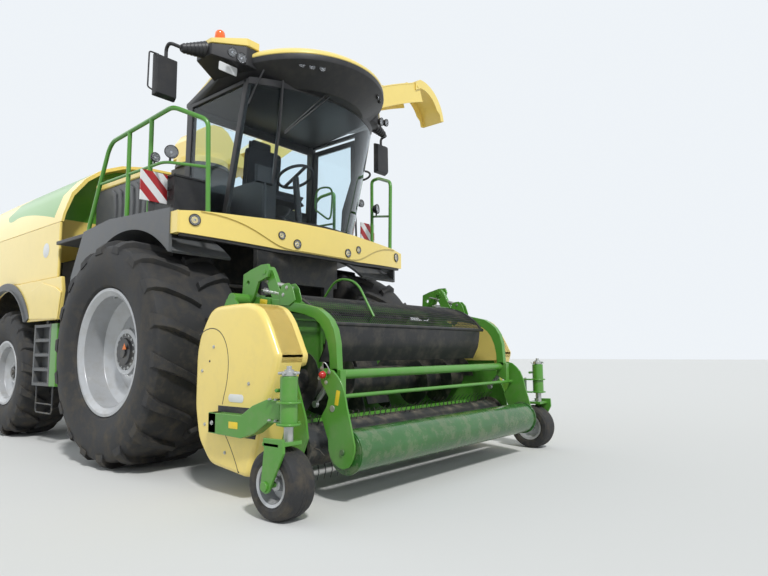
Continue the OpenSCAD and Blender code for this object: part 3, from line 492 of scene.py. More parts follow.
tyre_rubber = painted("tyre_rubber", (0.022, 0.022, 0.023), 0.7, 0.5, grain=320.0, bump=0.15,
                      dust_colour=(0.12, 0.10, 0.07, 1))
rim_paint = painted("rim_paint", (0.50, 0.51, 0.52), 0.32, 0.3, metallic=0.35, bump=0.015)
hub_black = painted("hub_black", (0.025, 0.025, 0.027), 0.35, 0.35, coat=0.2)
marker_orange = painted("marker_orange", (0.85, 0.20, 0.02), 0.35, 0.1)
def lugged_tyre(node, r, w, rim_r, lugs, place, way, body):
    """A tractor tyre: a bulging carcass with slanting lugs that lead with their inner ends."""
    bm = bmesh.new()
    lug_h = 45
    half = [(rim_r - 4, w * 0.395), (rim_r + 14, w * 0.41), (rim_r + 34, w * 0.445),
            (rim_r + (r - rim_r) * 0.32, w * 0.49), (rim_r + (r - rim_r) * 0.52, w * 0.50),
            (r - lug_h * 2.4, w * 0.482), (r - lug_h * 1.6, w * 0.45), (r - lug_h * 1.15, w * 0.37),
            (r - lug_h * 1.02, w * 0.2), (r - lug_h, 0)]
    profile = half + [(a, -b) for a, b in reversed(half[:-1])] + [(rim_r - 20, -w * 0.36),
                                                                  (rim_r - 20, w * 0.36)]
    steps = 120
    rings = [[bm.verts.new((a * math.cos(math.tau * i / steps), b, a * math.sin(math.tau * i / steps)))
              for i in range(steps)] for a, b in profile]
    for a, b in zip(rings, rings[1:] + rings[:1]):
        for i in range(steps):
            bm.faces.new((a[i], a[(i + 1) % steps], b[(i + 1) % steps], b[i]))
    pitch = math.tau * r / lugs
    lead = pitch * 0.40
    for i in range(lugs):
        for side, shift in ((1, 0), (-1, 0.5)):
            turn = Matrix.Rotation(-math.tau * (i + shift) / lugs, 4, "Y")
            rows = []
            # Stations along the lug: its middle, half width and how far its foot goes down
            for t, wide in ((0, 0.115), (0.2, 0.10), (0.45, 0.105), (0.7, 0.12), (0.88, 0.15), (1.0, 0.17)):
                along = lead - pitch * 0.11 + (-lead + pitch * 0.14 - lead + pitch * 0.11) * (t ** 0.85)
                y = -side * w * (0.02 + 0.475 * t)
                drop = 0 if t < 0.75 else (26 if t < 0.95 else 74)
                foot = lug_h + 24 + (t > 0.6) * 14 + (t > 0.8) * 20 + (t > 0.95) * 34
                rows.append([])
                for k, bulge, down, tuck in ((-1, 1.15, foot, 0), (-1, 0.82, drop, 3), (1, 0.82, drop, 3),
                                             (1, 1.15, foot, 0)):
                    crest = math.sqrt(r * r - (along + k * pitch * wide) ** 2)
                    corner = Vector((along + k * pitch * wide * bulge, y + tuck * side, crest - down))
                    rows[-1].append(bm.verts.new(turn @ corner))
            for a, b in zip(rows, rows[1:]):
                for k in range(4):
                    bm.faces.new((a[k], a[(k + 1) % 4], b[(k + 1) % 4], b[k]))
            bm.faces.new(rows[0][::-1])
            bm.faces.new(rows[-1])
    if way > 0:
        bm.transform(Matrix.Scale(-1, 4, (0, 1, 0)))
    bm.transform(Matrix.Translation(Vector(place) * 1000))
    return built(node + "_lugged", bm, body, (node,), 0.005, tyre_rubber, angle=32)


for side, way in (("r", -1), ("l", 1)):
    for place, radius, width, rim_radius, x, track, dish, reach in (
            ("front", 1.02, 0.88, 0.56, 0.0, 1.3, 0.06, 0.13),
                    ("rear", 0.775, 0.60, 0.385, -3.15, 1.19, 0.06, 0.09)):
        body = f"{place}_wheel_{side}"
        lugged_tyre(f"tyre_{place}_{side}", radius * 1000, width * 1000, rim_radius * 1000,
                    18 if place == "front" else 16, (x, way * track, radius), way, body)
        softened(f"rim_{place}_{side}", body, 0.004, rim_paint)
        centre = Vector((x, way * (track + dish + reach), radius))
        core = 0.19 if place == "front" else 0.11
        turned(f"hub_{place}_{side}", [(0, 0.035), (core * 0.28, 0.035), (core * 0.3, 0.022),
                                       (core * 0.62, 0.022), (core * 0.66, 0.004), (core, -0.002),
                                       (core, -0.03), (0, -0.03)], centre, (0, way, 0), body, hub_black,
               angle=25)
        ring = core * 0.82
        bolts(f"hub_bolts_{place}_{side}",
              [(centre + Vector((ring * math.cos(t), 0, ring * math.sin(t))) + Vector((0, way * 0.001, 0)),
                (0, way, 0)) for t in (math.tau * i / 16 for i in range(16))], body, zinc_plate,
              "steel", 0.009)
        ring = 0.26 if place == "front" else 0.17
        bolts(f"wheel_nuts_{place}_{side}",
              [(Vector((x + ring * math.cos(t), way * (track + dish + 0.014), radius + ring * math.sin(t))),
                (0, way, 0)) for t in (math.tau * (i + 0.5) / 10 for i in range(10))], body, zinc_plate,
              "steel", 0.017)
        turned(f"valve_{place}_{side}", [(0, 0), (0.007, 0), (0.006, 0.045), (0.0, 0.05)],
               Vector((x, way * (track + width * 0.31), radius + rim_radius - 0.065)), (0, way, -0.35),
               body, zinc_plate, 12)
        # Raised rings pressed into the tyre's side
        for at, lift in ((0.32, 0.006), (0.62, 0.005)):
            r = rim_radius + 0.02 + (radius - 0.122 - rim_radius - 0.02) * at
            out = width * (0.40 + 0.095 * at)
            turned(f"side_ring_{place}_{side}_{round(at * 100)}",
                   [(r - 0.012, out - 0.004), (r - 0.006, out + lift), (r + 0.006, out + lift),
                    (r + 0.012, out - 0.002)], Vector((x, way * track, radius)), (0, way, 0), body,
                   tyre_rubber, 96, loop=True)
    tick = [(-0.035, -0.02), (0.035, -0.02), (0, 0.035)]
    plate(f"hub_marker_{side}", tick, stood((0.05, way * 1.526, 1.06), (way * -1, 0, 0), (0, 0, 1)), 0.004,
          f"front_wheel_{side}", marker_orange, 0.001)

gauge_profile = [(0.128, 0.086), (0.150, 0.098), (0.185, 0.097), (0.205, 0.084), (0.2148, 0.055),
                 (0.2152, 0.02), (0.2130, 0.017), (0.2130, 0.011), (0.2152, 0.008)]
for side, way in (("r", -1), ("l", 1)):
    centre = Vector((2.445, way * 1.711, 0.215))
    tyre = turned(f"gauge_tyre_{side}", gauge_profile + [(r, -h) for r, h in reversed(gauge_profile)]
                  + [(0.122, -0.07), (0.122, 0.07)], centre, (0, way, 0), f"gauge_{side}", tyre_rubber,
                  72, loop=True)
    rim = turned(f"gauge_rim_{side}",
                 [(0, -0.058), (0.036, -0.058), (0.040, -0.02), (0.085, -0.012), (0.108, -0.03),
                  (0.112, -0.086),
                  (0.130, -0.092), (0.132, -0.086), (0.118, -0.075), (0.118, 0.075), (0.132, 0.086),
                  (0.130, 0.092),
                  (0.112, 0.086), (0.106, -0.012), (0.088, 0.006), (0.046, 0.0), (0.042, 0.05),
                  (0.034, 0.058),
                  (0.0, 0.058)], centre, (0, way, 0), f"gauge_{side}", rim_paint, 64)
    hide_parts(f"gauge_wheel_{side}")
    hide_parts(f"gauge_wheel_{side}")
    bolts(f"gauge_nuts_{side}", [(centre + Vector((0.066 * math.cos(t), way * 0.004, 0.066 * math.sin(t))),
                                  (0, way, 0)) for t in (math.tau * i / 5 for i in range(5))],
          f"gauge_{side}", zinc_plate, "steel", 0.007)

# Body panels
# Pale yellow sheet and moulded panels, grey guards and walkways, green tube rails.
body_yellow = painted("body_yellow", (0.93, 0.72, 0.20), 0.3, 0.12, bump=0.012, coat=0.3,
                      dust_colour=(0.45, 0.38, 0.22, 1), mottle=0.05)
leaf_green = painted("leaf_green", (0.09, 0.30, 0.035), 0.3, 0.18, bump=0.015, coat=0.2, mottle=0.1)
guard_grey = painted("guard_grey", (0.10, 0.105, 0.11), 0.45, 0.35)
black_plastic = painted("black_plastic", (0.018, 0.018, 0.02), 0.45, 0.2, grain=420.0, bump=0.06)


def striped():
    """Red and white slanting stripes of reflecting film."""
    material = painted("warning_stripes", (0.8, 0.8, 0.8), 0.3, 0.15, grain=900.0, bump=0.02)
    tree = material.node_tree
    worn = next(n for n in tree.nodes if n.type == "GROUP")
    place = tree.nodes.new("ShaderNodeTexCoord")
    split = tree.nodes.new("ShaderNodeSeparateXYZ")
    slant = tree.nodes.new("ShaderNodeMath")
    slant.operation = "ADD"
    lanes = tree.nodes.new("ShaderNodeMath")
    lanes.operation = "MULTIPLY"
    lanes.inputs[1].default_value = 1 / 0.20
    part = tree.nodes.new("ShaderNodeMath")
    part.operation = "FRACT"
    pick = tree.nodes.new("ShaderNodeMath")
    pick.operation = "GREATER_THAN"
    pick.inputs[1].default_value = 0.5
    red = tree.nodes.new("ShaderNodeMix")
    red.data_type = "RGBA"
    red.inputs["A"].default_value = (0.80, 0.80, 0.80, 1)
    red.inputs["B"].default_value = (0.42, 0.015, 0.02, 1)
    link = tree.links.new
    link(place.outputs["Object"], split.inputs[0])
    link(split.outputs["Y"], slant.inputs[0])
    link(split.outputs["Z"], slant.inputs[1])
    link(slant.outputs[0], lanes.inputs[0])
    link(lanes.outputs[0], part.inputs[0])
    link(part.outputs[0], pick.inputs[0])
    link(pick.outputs[0], red.inputs["Factor"])
    link(red.outputs["Result"], worn.inputs["Paint"])
    return material


def banded():
    """Yellow hood paint with the broad green band that sweeps up over the crown."""
    material = painted("hood_yellow_green", (0.93, 0.72, 0.20), 0.3, 0.12, bump=0.012, coat=0.3,
                       dust_colour=(0.45, 0.38, 0.22, 1), mottle=0.05)
    tree = material.node_tree
    worn = next(n for n in tree.nodes if n.type == "GROUP")
    place = tree.nodes.new("ShaderNodeTexCoord")
    split = tree.nodes.new("ShaderNodeSeparateXYZ")
    along = tree.nodes.new("ShaderNodeMapRange")
    along.inputs["From Min"].default_value = -3.75
    along.inputs["From Max"].default_value = -1.75
    edge = tree.nodes.new("ShaderNodeFloatCurve")
    line = edge.mapping.curves[0]
    line.points[0].location = (0.0, 1.0)
    line.points[1].location = (1.0, 0.16)
    for x, z in ((0.06, 0.50), (0.135, 0.44), (0.26, 0.47), (0.40, 0.45), (0.72, 0.32)):
        line.points.new(x, z)
    edge.mapping.update()
    height = tree.nodes.new("ShaderNodeMapRange")
    height.inputs["From Min"].default_value = 2.4
    height.inputs["From Max"].default_value = 3.2
    above = tree.nodes.new("ShaderNodeMath")
    above.operation = "GREATER_THAN"
    front = tree.nodes.new("ShaderNodeMath")
    front.operation = "LESS_THAN"
    front.inputs[1].default_value = -1.93
    back = tree.nodes.new("ShaderNodeMath")
    back.operation = "GREATER_THAN"
    back.inputs[1].default_value = -3.70
    both = tree.nodes.new("ShaderNodeMath")
    both.operation = "MULTIPLY"
    all_of = tree.nodes.new("ShaderNodeMath")
    all_of.operation = "MULTIPLY"
    green = tree.nodes.new("ShaderNodeMix")
    green.data_type = "RGBA"
    green.inputs["A"].default_value = (0.93, 0.72, 0.20, 1)
    green.inputs["B"].default_value = (0.12, 0.36, 0.04, 1)
    link = tree.links.new
    link(place.outputs["Object"], split.inputs[0])
    link(split.outputs["X"], along.inputs["Value"])
    link(along.outputs[0], edge.inputs["Value"])
    link(split.outputs["Z"], height.inputs["Value"])
    link(height.outputs[0], above.inputs[0])
    link(edge.outputs[0], above.inputs[1])
    link(split.outputs["X"], front.inputs[0])
    link(split.outputs["X"], back.inputs[0])
    link(front.outputs[0], both.inputs[0])
    link(back.outputs[0], both.inputs[1])
    link(both.outputs[0], all_of.inputs[0])
    link(above.outputs[0], all_of.inputs[1])
    link(all_of.outputs[0], green.inputs["Factor"])
    link(green.outputs["Result"], worn.inputs["Paint"])
    return material


hood_paint = banded()
warning_stripes = striped()
for node, body, width, material, slot in (
        ("hood_shell", "chassis", 0.02, hood_paint, "yellow_paint"),
        ("hood_side_r", "side_panel_r", 0.01, body_yellow, "yellow_paint"),
        ("hood_side_l", "side_panel_l", 0.01, body_yellow, "yellow_paint"),
        ("front_fenders", "chassis", 0.01, guard_grey, "grey_paint"),
        ("platforms", "chassis", 0.006, chassis_paint, "dark_paint")):
    softened(node, body, width, material)

# Front panel
# The long yellow moulding below the windscreen: a proud middle between two sweeping
# creases, a black lip beneath, and six round lamps in dark cups.
def slab(bm, outline, y, thick):
    """A flat plate with (x, z) corners in millimetres, from y along +Y."""
    low, high = ([bm.verts.new((x, side, z)) for x, z in outline] for side in (y, y + thick))
    bm.faces.new(low)
    bm.faces.new(high[::-1])
    for i in range(len(low)):
        j = (i + 1) % len(low)
        bm.faces.new((low[i], high[i], high[j], low[j]))


def block(bm, low, size):
    """A box in millimetres, from its low corner and its size."""
    x, y, z = low
    slab(bm, [(x, z), (x + size[0], z), (x + size[0], z + size[2]), (x, z + size[2])], y, size[1])


def bezier(p, steps):
    """A cubic curve from its four control points."""
    return [tuple(p[0][k] * u ** 3 + 3 * p[1][k] * t * u * u + 3 * p[2][k] * t * t * u + p[3][k] * t ** 3
                  for k in (0, 1)) for t, u in ((i / steps, 1 - i / steps) for i in range(steps + 1))]


panel_end, panel_mid, panel_half = 860, 1050, 1500
deep = panel_mid - panel_end
panel_r = (panel_half ** 2 + deep * deep) / (2 * deep)


def panel_x(y, out=0.0):
    """How far forward the front panel stands at y, moved out from its face."""
    return panel_mid - panel_r + math.sqrt((panel_r + out) ** 2 - y * y)


def level(points, at):
    """The height of a line of (y, z) points at a place along it."""
    for (y0, z0), (y1, z1) in zip(points, points[1:]):
        if at <= y1 or (y1, z1) == points[-1]:
            return z0 + (z1 - z0) * min(max((at - y0) / (y1 - y0), 0), 1)


def panel_band(bm, top, bottom, reach, out, thick):
    """A bent band of the front panel between two lines of (y, z) points, the same on both sides."""
    columns = []
    for i in range(-60, 61):
        y = reach * i / 60
        z1, z0 = level(top, abs(y)), level(bottom, abs(y))
        columns.append([bm.verts.new((panel_x(y, o), y, z)) for o, z in
                        ((out, z0), (out, z1), (out - thick, z1), (out - thick, z0))])
    for a, b in zip(columns, columns[1:]):
        for k in range(4):
            bm.faces.new((a[k], a[(k + 1) % 4], b[(k + 1) % 4], b[k]))
    bm.faces.new(columns[0])
    bm.faces.new(columns[-1][::-1])


panel_top = [(0, 2259), (480, 2255), (1160, 2222), (1330, 2222), (1500, 2204)]
bm = bmesh.new()
panel_band(bm, panel_top, [(0, 1972), (560, 1972), (1500, 2015)], 1500, 0, 50)
crease = bezier([(1330, 2216), (800, 2200), (690, 1990), (440, 1985)], 12)[::-1]
panel_band(bm, [(0, 2250), (480, 2246), (1330, 2219)], [(0, 1980), (430, 1982)] + crease, 1328, 13, 20)
for side in (-1, 1):
    block(bm, (750.3, side * 1490 - 30, 2015), (110, 60, 189))
built("front_moulding", bm, "chassis", ("front_panel",), 0.008, body_yellow, angle=24)
bm = bmesh.new()
panel_band(bm, [(0, 1976), (560, 1976), (1480, 2019)], [(0, 1940), (560, 1940), (1480, 1990)],
           1480, -14, 40)
built("front_lip", bm, "chassis", ("front_panel",), 0.004, black_plastic)
lamp_bowl = painted("lamp_bowl", (0.55, 0.56, 0.58), 0.15, 0.05, metallic=1.0, bump=0.0)
lamp_glass = bpy.data.materials.new("lamp_glass")
lamp_glass.use_nodes = True
lens = lamp_glass.node_tree.nodes["Principled BSDF"]
lens.inputs["Base Color"].default_value = (0.95, 0.97, 1.0, 1)
lens.inputs["Roughness"].default_value = 0.08
lens.inputs["Transmission Weight"].default_value = 0.9
lens.inputs["IOR"].default_value = 1.3


def round_lamp(name, at, towards, r, deep=0.9):
    """A round lamp: housing behind, a rim, a bright bowl with a bulb shield, and a glass."""
    at, towards = Vector(at), Vector(towards).normalized()
    shell = [(0, -r * deep)] + [(r * (0.55 + 0.45 * t), -r * deep * (1 - t ** 1.6))
                                for t in (0.0, 0.25, 0.5, 0.75, 1.0)]
    turned(name + "_housing", shell + [(r, r * 0.14), (r * 0.97, r * 0.2), (r * 0.9, r * 0.2),
                                       (r * 0.88, r * 0.1), (0, -r * 0.3)], at, towards, "chassis",
           black_plastic, 40)
    turned(name + "_bowl", [(0, -r * 0.26)]
           + [(r * 0.87 * t, r * (-0.26 + 0.36 * t * t)) for t in (0.25, 0.5, 0.75, 0.9, 1.0)]
           + [(r * 0.87, r * 0.06), (0, -r * 0.34)], at, towards, "chassis", lamp_bowl, 40)
    turned(name + "_bulb", [(0, -r * 0.25), (r * 0.18, -r * 0.22), (r * 0.2, r * 0.0), (r * 0.12, r * 0.06),
                            (0, r * 0.07)], at, towards, "chassis", lamp_bowl, 24)
    turned(name + "_lens", [(0, r * 0.155), (r * 0.5, r * 0.15), (r * 0.88, r * 0.12), (r * 0.88, r * 0.10),
                            (0, r * 0.10)], at, towards, "chassis", lamp_glass, 40)


for y, z, r, out in ((1377, 2135, 52, 0), (539, 2105, 40, 13), (357, 2044, 46, 13)):
    for side in (-1, 1):
        x = panel_x(y, out)
        way = Vector((math.sqrt(panel_r ** 2 - y * y), side * y, 0)).normalized()
        round_lamp(f"panel_lamp_{y}_{'r' if side < 0 else 'l'}",
                   (x / 1000 + 0.002, side * y / 1000, z / 1000), way, r / 1000, deep=0.5)

# Rails, boxes and step boxes
# Green bent tubes round the walkways, a black tool box, warning plates, grey ribbed
# boxes with yellow lids, and step boxes with pressed treads behind the front wheels.
def bar(bm, a, b, r, r_end=None, steps=24):
    """A round bar from a to b, or a cone where its end has a radius of its own."""
    a, b = Vector(a), Vector(b)
    turn = (b - a).to_track_quat("Z", "Y").to_matrix()
    rings = []
    for middle, radius in ((a, r), (b, r if r_end is None else r_end)):
        rings.append([bm.verts.new(middle + turn @ Vector((radius * math.cos(math.tau * i / steps),
                                                           radius * math.sin(math.tau * i / steps), 0)))
                      for i in range(steps)])
    for i in range(steps):
        j = (i + 1) % steps
        bm.faces.new((rings[0][i], rings[0][j], rings[1][j], rings[1][i]))
    bm.faces.new(rings[0][::-1])
    bm.faces.new(rings[1])


def bent_bar(bm, points, r, curl=90):
    """A bent round bar: each corner is a bend of its own, drawn as a chain of short bars."""
    path = [Vector(points[0])]
    for before, corner, after in zip(points, points[1:], points[2:]):
        before, corner, after = Vector(before), Vector(corner), Vector(after)
        reach = min(curl, (before - corner).length / 2.2, (after - corner).length / 2.2)
        start, end = corner.lerp(before, reach / (before - corner).length), corner.lerp(after,
                reach / (after - corner).length)
        path += [start.lerp(corner, t).lerp(corner.lerp(end, t), t) for t in (i / 6 for i in range(7))]
    path.append(Vector(points[-1]))
    steps, rings = 16, []
    side = (path[1] - path[0]).orthogonal().normalized()
    for i, at in enumerate(path):
        way = (path[min(i + 1, len(path) - 1)] - path[max(i - 1, 0)]).normalized()
        side = (side - way * side.dot(way)).normalized()
        other = way.cross(side)
        rings.append([bm.verts.new(at + side * r * math.cos(math.tau * k / steps)
                                   + other * r * math.sin(math.tau * k / steps)) for k in range(steps)])
    for a, b in zip(rings, rings[1:]):
        for k in range(steps):
            bm.faces.new((a[k], a[(k + 1) % steps], b[(k + 1) % steps], b[k]))
    bm.faces.new(rings[0][::-1])
    bm.faces.new(rings[-1])


def ribbon(path, width):
    """The outline of a strip of even width along (x, z) points."""
    sides = []
    for i, at in enumerate(path):
        a, b = path[max(i - 1, 0)], path[min(i + 1, len(path) - 1)]
        way = Vector((b[0] - a[0], b[1] - a[1])).normalized() * width / 2
        sides.append(((at[0] - way.y, at[1] + way.x), (at[0] + way.y, at[1] - way.x)))
    return [left for left, _ in sides] + [right for _, right in reversed(sides)]


bm = bmesh.new()
y, z, foot_z = -1450, 2250.3, 2222
bent_bar(bm, [(-959, y, z), (-959, y, 2320), (-588, y, 3071), (-500, y, 3140), (610, y, 3196),
              (900, -1275, 3050), (900, -1255, foot_z)], 21, 70)
for x in (-160, 250):
    bar(bm, (x, y, z), (x, y, 3160 + (x + 160) * 0.03), 21)
bent_bar(bm, [(-742, y, 2740), (490, y, 2716), (900, -1268, 2624)], 14)
built("rails_right", bm, "chassis", ("railings",), 0, leaf_green)
bm = bmesh.new()
y = 1450
bent_bar(bm, [(-959, y, z), (-959, y, 2320), (-588, y, 3071), (-500, y, 3140), (-220, y, 3160),
              (-220, y, z)], 21, 70)
bent_bar(bm, [(450, y, z), (450, y, 3190), (560, y, 3200), (900, 1275, 3050), (900, 1255, foot_z)], 21, 70)
bar(bm, (-742, y, 2740), (-230, y, 2727), 14)
bent_bar(bm, [(455, y, 2716), (500, y, 2714), (900, 1268, 2624)], 14)
built("rails_left", bm, "chassis", ("railings",), 0, leaf_green)
for x, ys in ((-959, (-1450, 1450)), (-160, (-1450,)), (250, (-1450,)), (-220, (1450,)), (450, (1450,))):
    for y in ys:
        name = f"rail_foot_{x + 1000}_{'r' if y < 0 else 'l'}"
        turned(name, [(0.02, 0.0), (0.036, 0.0), (0.036, 0.006), (0.024, 0.008), (0.0215, 0.02),
                      (0.02, 0.02)], (x / 1000, y / 1000, 2.2503), (0, 0, 1), "chassis", leaf_green,
               32, loop=True)

bm = bmesh.new()
block(bm, (0, -1300, 2250.3), (420, 370, 385))
block(bm, (-8, -1308, 2635), (436, 386, 22))
for z in (2330, 2420, 2510):
    block(bm, (30, -1306, z), (360, 8, 40))
built("tool_box", bm, "chassis", ("tool_boxes",), 0.008, black_plastic, segments=3)
bm = bmesh.new()
block(bm, (300, -1570, 2380), (16, 260, 280))
block(bm, (300, 1392, 2380), (16, 260, 280))
built("warning_plates", bm, "chassis", ("tool_boxes",), 0.002, warning_stripes)
bm = bmesh.new()
block(bm, (288, -1480, 2250.3), (12, 60, 380))
block(bm, (288, 1420, 2250.3), (12, 60, 380))
built("plate_posts", bm, "chassis", ("tool_boxes",), 0.002, chassis_paint)

bm = bmesh.new()
z = 2250.3
slab(bm, [(-551, z), (-514, 2837), (-620, 2890), (-1690, 2905), (-1690, z)], -1062, 742)
for i in range(6):
    slab(bm, ribbon([(-560 - 130 * i, 2310), (-545 - 130 * i, 2640), (-570 - 130 * i, 2790),
                     (-630 - 130 * i, 2830)], 62), -1084, 30)
built("ribbed_boxes", bm, "chassis", ("side_louvers",), 0.009, guard_grey,
      both=True, segments=3)
bm = bmesh.new()
slab(bm, [(-548, 2838), (-592, 2960), (-700, 2987), (-1690, 2987), (-1690, 2904), (-620, 2889)], -1076, 740)
built("box_lids", bm, "chassis", ("side_louvers",), 0.014, body_yellow,
      both=True, segments=3)

bm = bmesh.new()
step_x, top = -2270, 1344
block(bm, (step_x, -1450, 645), (40, 150, top - 645))
block(bm, (-1839, -1450, 645), (40, 150, top - 645))
block(bm, (step_x + 30, -1362, 645), (420, 62, top - 645))
for i in range(5):
    block(bm, (step_x + 30, -1448, 645 + 165 * i), (420, 100, 34))
for i in range(4):
    for k in range(6):
        block(bm, (step_x + 60 + 60 * k, -1450, 679 + 165 * i), (30, 84, 7))
built("step_boxes", bm, "chassis", ("steps",), 0.005, guard_grey, both=True)
bm = bmesh.new()
block(bm, (-1799, -1450, 645), (169, 150, top - 645))
built("step_posts", bm, "chassis", ("steps",), 0.01, leaf_green, both=True)
bm = bmesh.new()
bent_bar(bm, [(-2150, -1438, 655), (-2150, -1438, 350), (-1700, -1438, 350), (-1700, -1438, 655)], 9, 50)
bar(bm, (-2150, -1438, 450), (-1700, -1438, 450), 8)
built("wire_steps", bm, "chassis", ("steps",), 0, chassis_paint, both=True)

# Skirts and rear door
# Yellow skirts cut round for the rear wheels, with a grey arch trim, and the rear
# grille: a frame with slanted slats before its back plate.
def arc(middle, radius, start, end, steps):
    """Points of an arc round a middle, from a start to an end in degrees."""
    return [(middle[0] + radius * math.cos(a), middle[1] + radius * math.sin(a))
            for a in (math.radians(start + (end - start) * i / steps) for i in range(steps + 1))]


arch_at = (-3150, 1000)
arch = [(x, z) for x, z in arc(arch_at, 800, 28.3, 151.7, 40)]
bm = bmesh.new()
slab(bm, [(-1480, 1700), (-1520, 1852), (-4830, 1852), (-4830, 1380)] + arch[::-1]
     + [(-1548, 1380)], -1480, 40)
slab(bm, [(-1480, 1673), (-1640, 1740), (-2011, 1815), (-2330, 1740), (-2344, 1410),
          (-1548, 1382)], -1495, 16)
built("skirt_sheets", bm, "chassis", ("rear_skirts",), 0.008, body_yellow, both=True)
bm = bmesh.new()
rim_path = arc(arch_at, 848, 28, 152, 48)
slab(bm, ribbon(rim_path, 92), -1499, 20)
slab(bm, ribbon(arc(arch_at, 806, 28, 152, 48), 14), -1520, 60)
built("arch_trim", bm, "chassis", ("rear_skirts",), 0.006, guard_grey, both=True)
bm = bmesh.new()
block(bm, (-4640, -1441, 1220), (60, 996, 60))
block(bm, (-4640, -1441, 1220), (60, 50, 220))
block(bm, (-1470, -1441, 1330), (70, 140, 150))
built("skirt_stays", bm, "chassis", ("rear_skirts",), 0.004, chassis_paint, both=True)

bm = bmesh.new()
x = -4986
for low, size in (((x, -1100, 1500), (34, 60, 1150)), ((x, 1040, 1500), (34, 60, 1150)),
                  ((x, -1041, 1500), (34, 2082, 60)),
                  ((x, -1041, 2590), (34, 2082, 60)), ((x + 28, -1041, 1560), (6, 2082, 1030)),
                  ((x, -387, 1559), (30, 40, 1032)),
                  ((x, 347, 1559), (30, 40, 1032))):
    block(bm, low, size)
for i in range(22):
    z = 1572 + 46 * i
    slab(bm, [(x + 2, z), (x + 8, z), (x + 26, z + 26), (x + 20, z + 26)], -1041, 2082)
built("rear_grille", bm, "grille_door", ("rear_door",), 0.002, chassis_paint)

# Cab
# A tall glazed cab: black posts and beams bolted to the floor, a curved tinted screen held
# in a rubber seal, fixed side panes, and a framed door on the left.
def ring_slab(bm, outer, inner, y, thick):
    """A flat plate with a window: both outlines have the same number of corners."""
    rows = [[bm.verts.new((x, side, z)) for x, z in edge] for edge, side in
            ((outer, y), (outer, y + thick), (inner, y + thick), (inner, y))]
    for a, b in zip(rows, rows[1:] + rows[:1]):
        for i in range(len(outer)):
            j = (i + 1) % len(outer)
            bm.faces.new((a[i], a[j], b[j], b[i]))


window_glass = bpy.data.materials.new("window_glass")
window_glass.use_nodes = True
pane = window_glass.node_tree.nodes["Principled BSDF"]
pane.inputs["Base Color"].default_value = (0.84, 0.93, 0.97, 1)
pane.inputs["Roughness"].default_value = 0.02
pane.inputs["Transmission Weight"].default_value = 1.0
pane.inputs["IOR"].default_value = 1.18
seat_cloth = painted("seat_cloth", (0.03, 0.03, 0.035), 0.9, 0.1, grain=600.0, bump=0.3)


softened("cab_floor", "chassis", 0.006, chassis_paint)
softened("controls", "chassis", 0.006, black_plastic)

cab_half_w, floor_z, glass_h, pillar_x, bulge = 880, 2250, 1330, 620, 385
roof_z = floor_z + glass_h
pillar_slope, middle_slope = math.tan(math.radians(14)), math.tan(math.radians(10))


def screen_arc(inset, t):
    """The windscreen's plan, from the right pillar to the left one, at the share t of its height."""
    b = bulge - glass_h * (pillar_slope - middle_slope) * t
    r = (cab_half_w ** 2 + b * b) / (2 * b)
    a = math.degrees(math.asin(cab_half_w / r))
    return arc((pillar_x + glass_h * pillar_slope * t + b - r, 0), r - inset, -a, a, 40)


def side_x(z):
    """How far forward the front pillar stands at a height."""
    return pillar_x + (z - floor_z) * pillar_slope


bm = bmesh.new()
rows = []
levels = [0.012 + i * 0.988 / 10 for i in range(11)]
for inset in (0, 8):
    rows.append([[bm.verts.new((x, y, floor_z + glass_h * t)) for x, y in screen_arc(inset, t)]
                 for t in levels])
for sheet in rows:
    for a, b in zip(sheet, sheet[1:]):
        for k in range(len(a) - 1):
            bm.faces.new((a[k], a[k + 1], b[k + 1], b[k]))
for a, b in ((rows[0][0], rows[1][0]), (rows[0][-1], rows[1][-1])):
    for k in range(len(a) - 1):
        bm.faces.new((a[k], a[k + 1], b[k + 1], b[k]))
for end in (0, -1):
    for k in range(len(levels) - 1):
        bm.faces.new((rows[0][k][end], rows[0][k + 1][end], rows[1][k + 1][end], rows[1][k][end]))
low, high = floor_z + 40, roof_z - 60
slab(bm, [(-29, low), (side_x(low) - 80, low), (side_x(high) - 80, high), (9, high)], -870, 8)
slab(bm, [(-110, floor_z + 480), (-102, floor_z + 480), (-70, roof_z - 110),
          (-78, roof_z - 110)], -820, 1640)
built("cab_panes", bm, "chassis", ("cab_glass",), 0, window_glass)

bm = bmesh.new()
for side in (-1, 1):
    y = -880 if side < 0 else 820
    slab(bm, [(-120, floor_z), (-30, floor_z), (10, roof_z), (-90, roof_z)], y, 60)
    y = -880 if side < 0 else 835
    slab(bm, [(-1, roof_z - 40), (side_x(roof_z) - 50, roof_z - 40), (side_x(roof_z) - 50, roof_z),
              (-1, roof_z)], y, 45)
slab(bm, [(pillar_x - 78, floor_z), (pillar_x - 10, floor_z), (side_x(roof_z) - 10, roof_z),
          (side_x(roof_z) - 78, roof_z)], -880, 45)
door_edge = [(530, floor_z), (560, floor_z + 430), (700, floor_z + 740), (700, roof_z - 60)]
slab(bm, [(x + 12, z) for x, z in door_edge]
     + [(712, roof_z), (side_x(roof_z) - 10, roof_z), (pillar_x - 10, floor_z)], 835, 45)
slab(bm, [(-31, floor_z), (pillar_x - 70, floor_z), (pillar_x - 70, floor_z + 40),
          (-31, floor_z + 40)], -880, 45)
block(bm, (-120, -821, floor_z), (40, 1642, 480))
block(bm, (-100, -821, roof_z - 90), (40, 1642, 90))
built("cab_posts", bm, "chassis", ("cab_frame",), 0.006, black_plastic)
bm = bmesh.new()
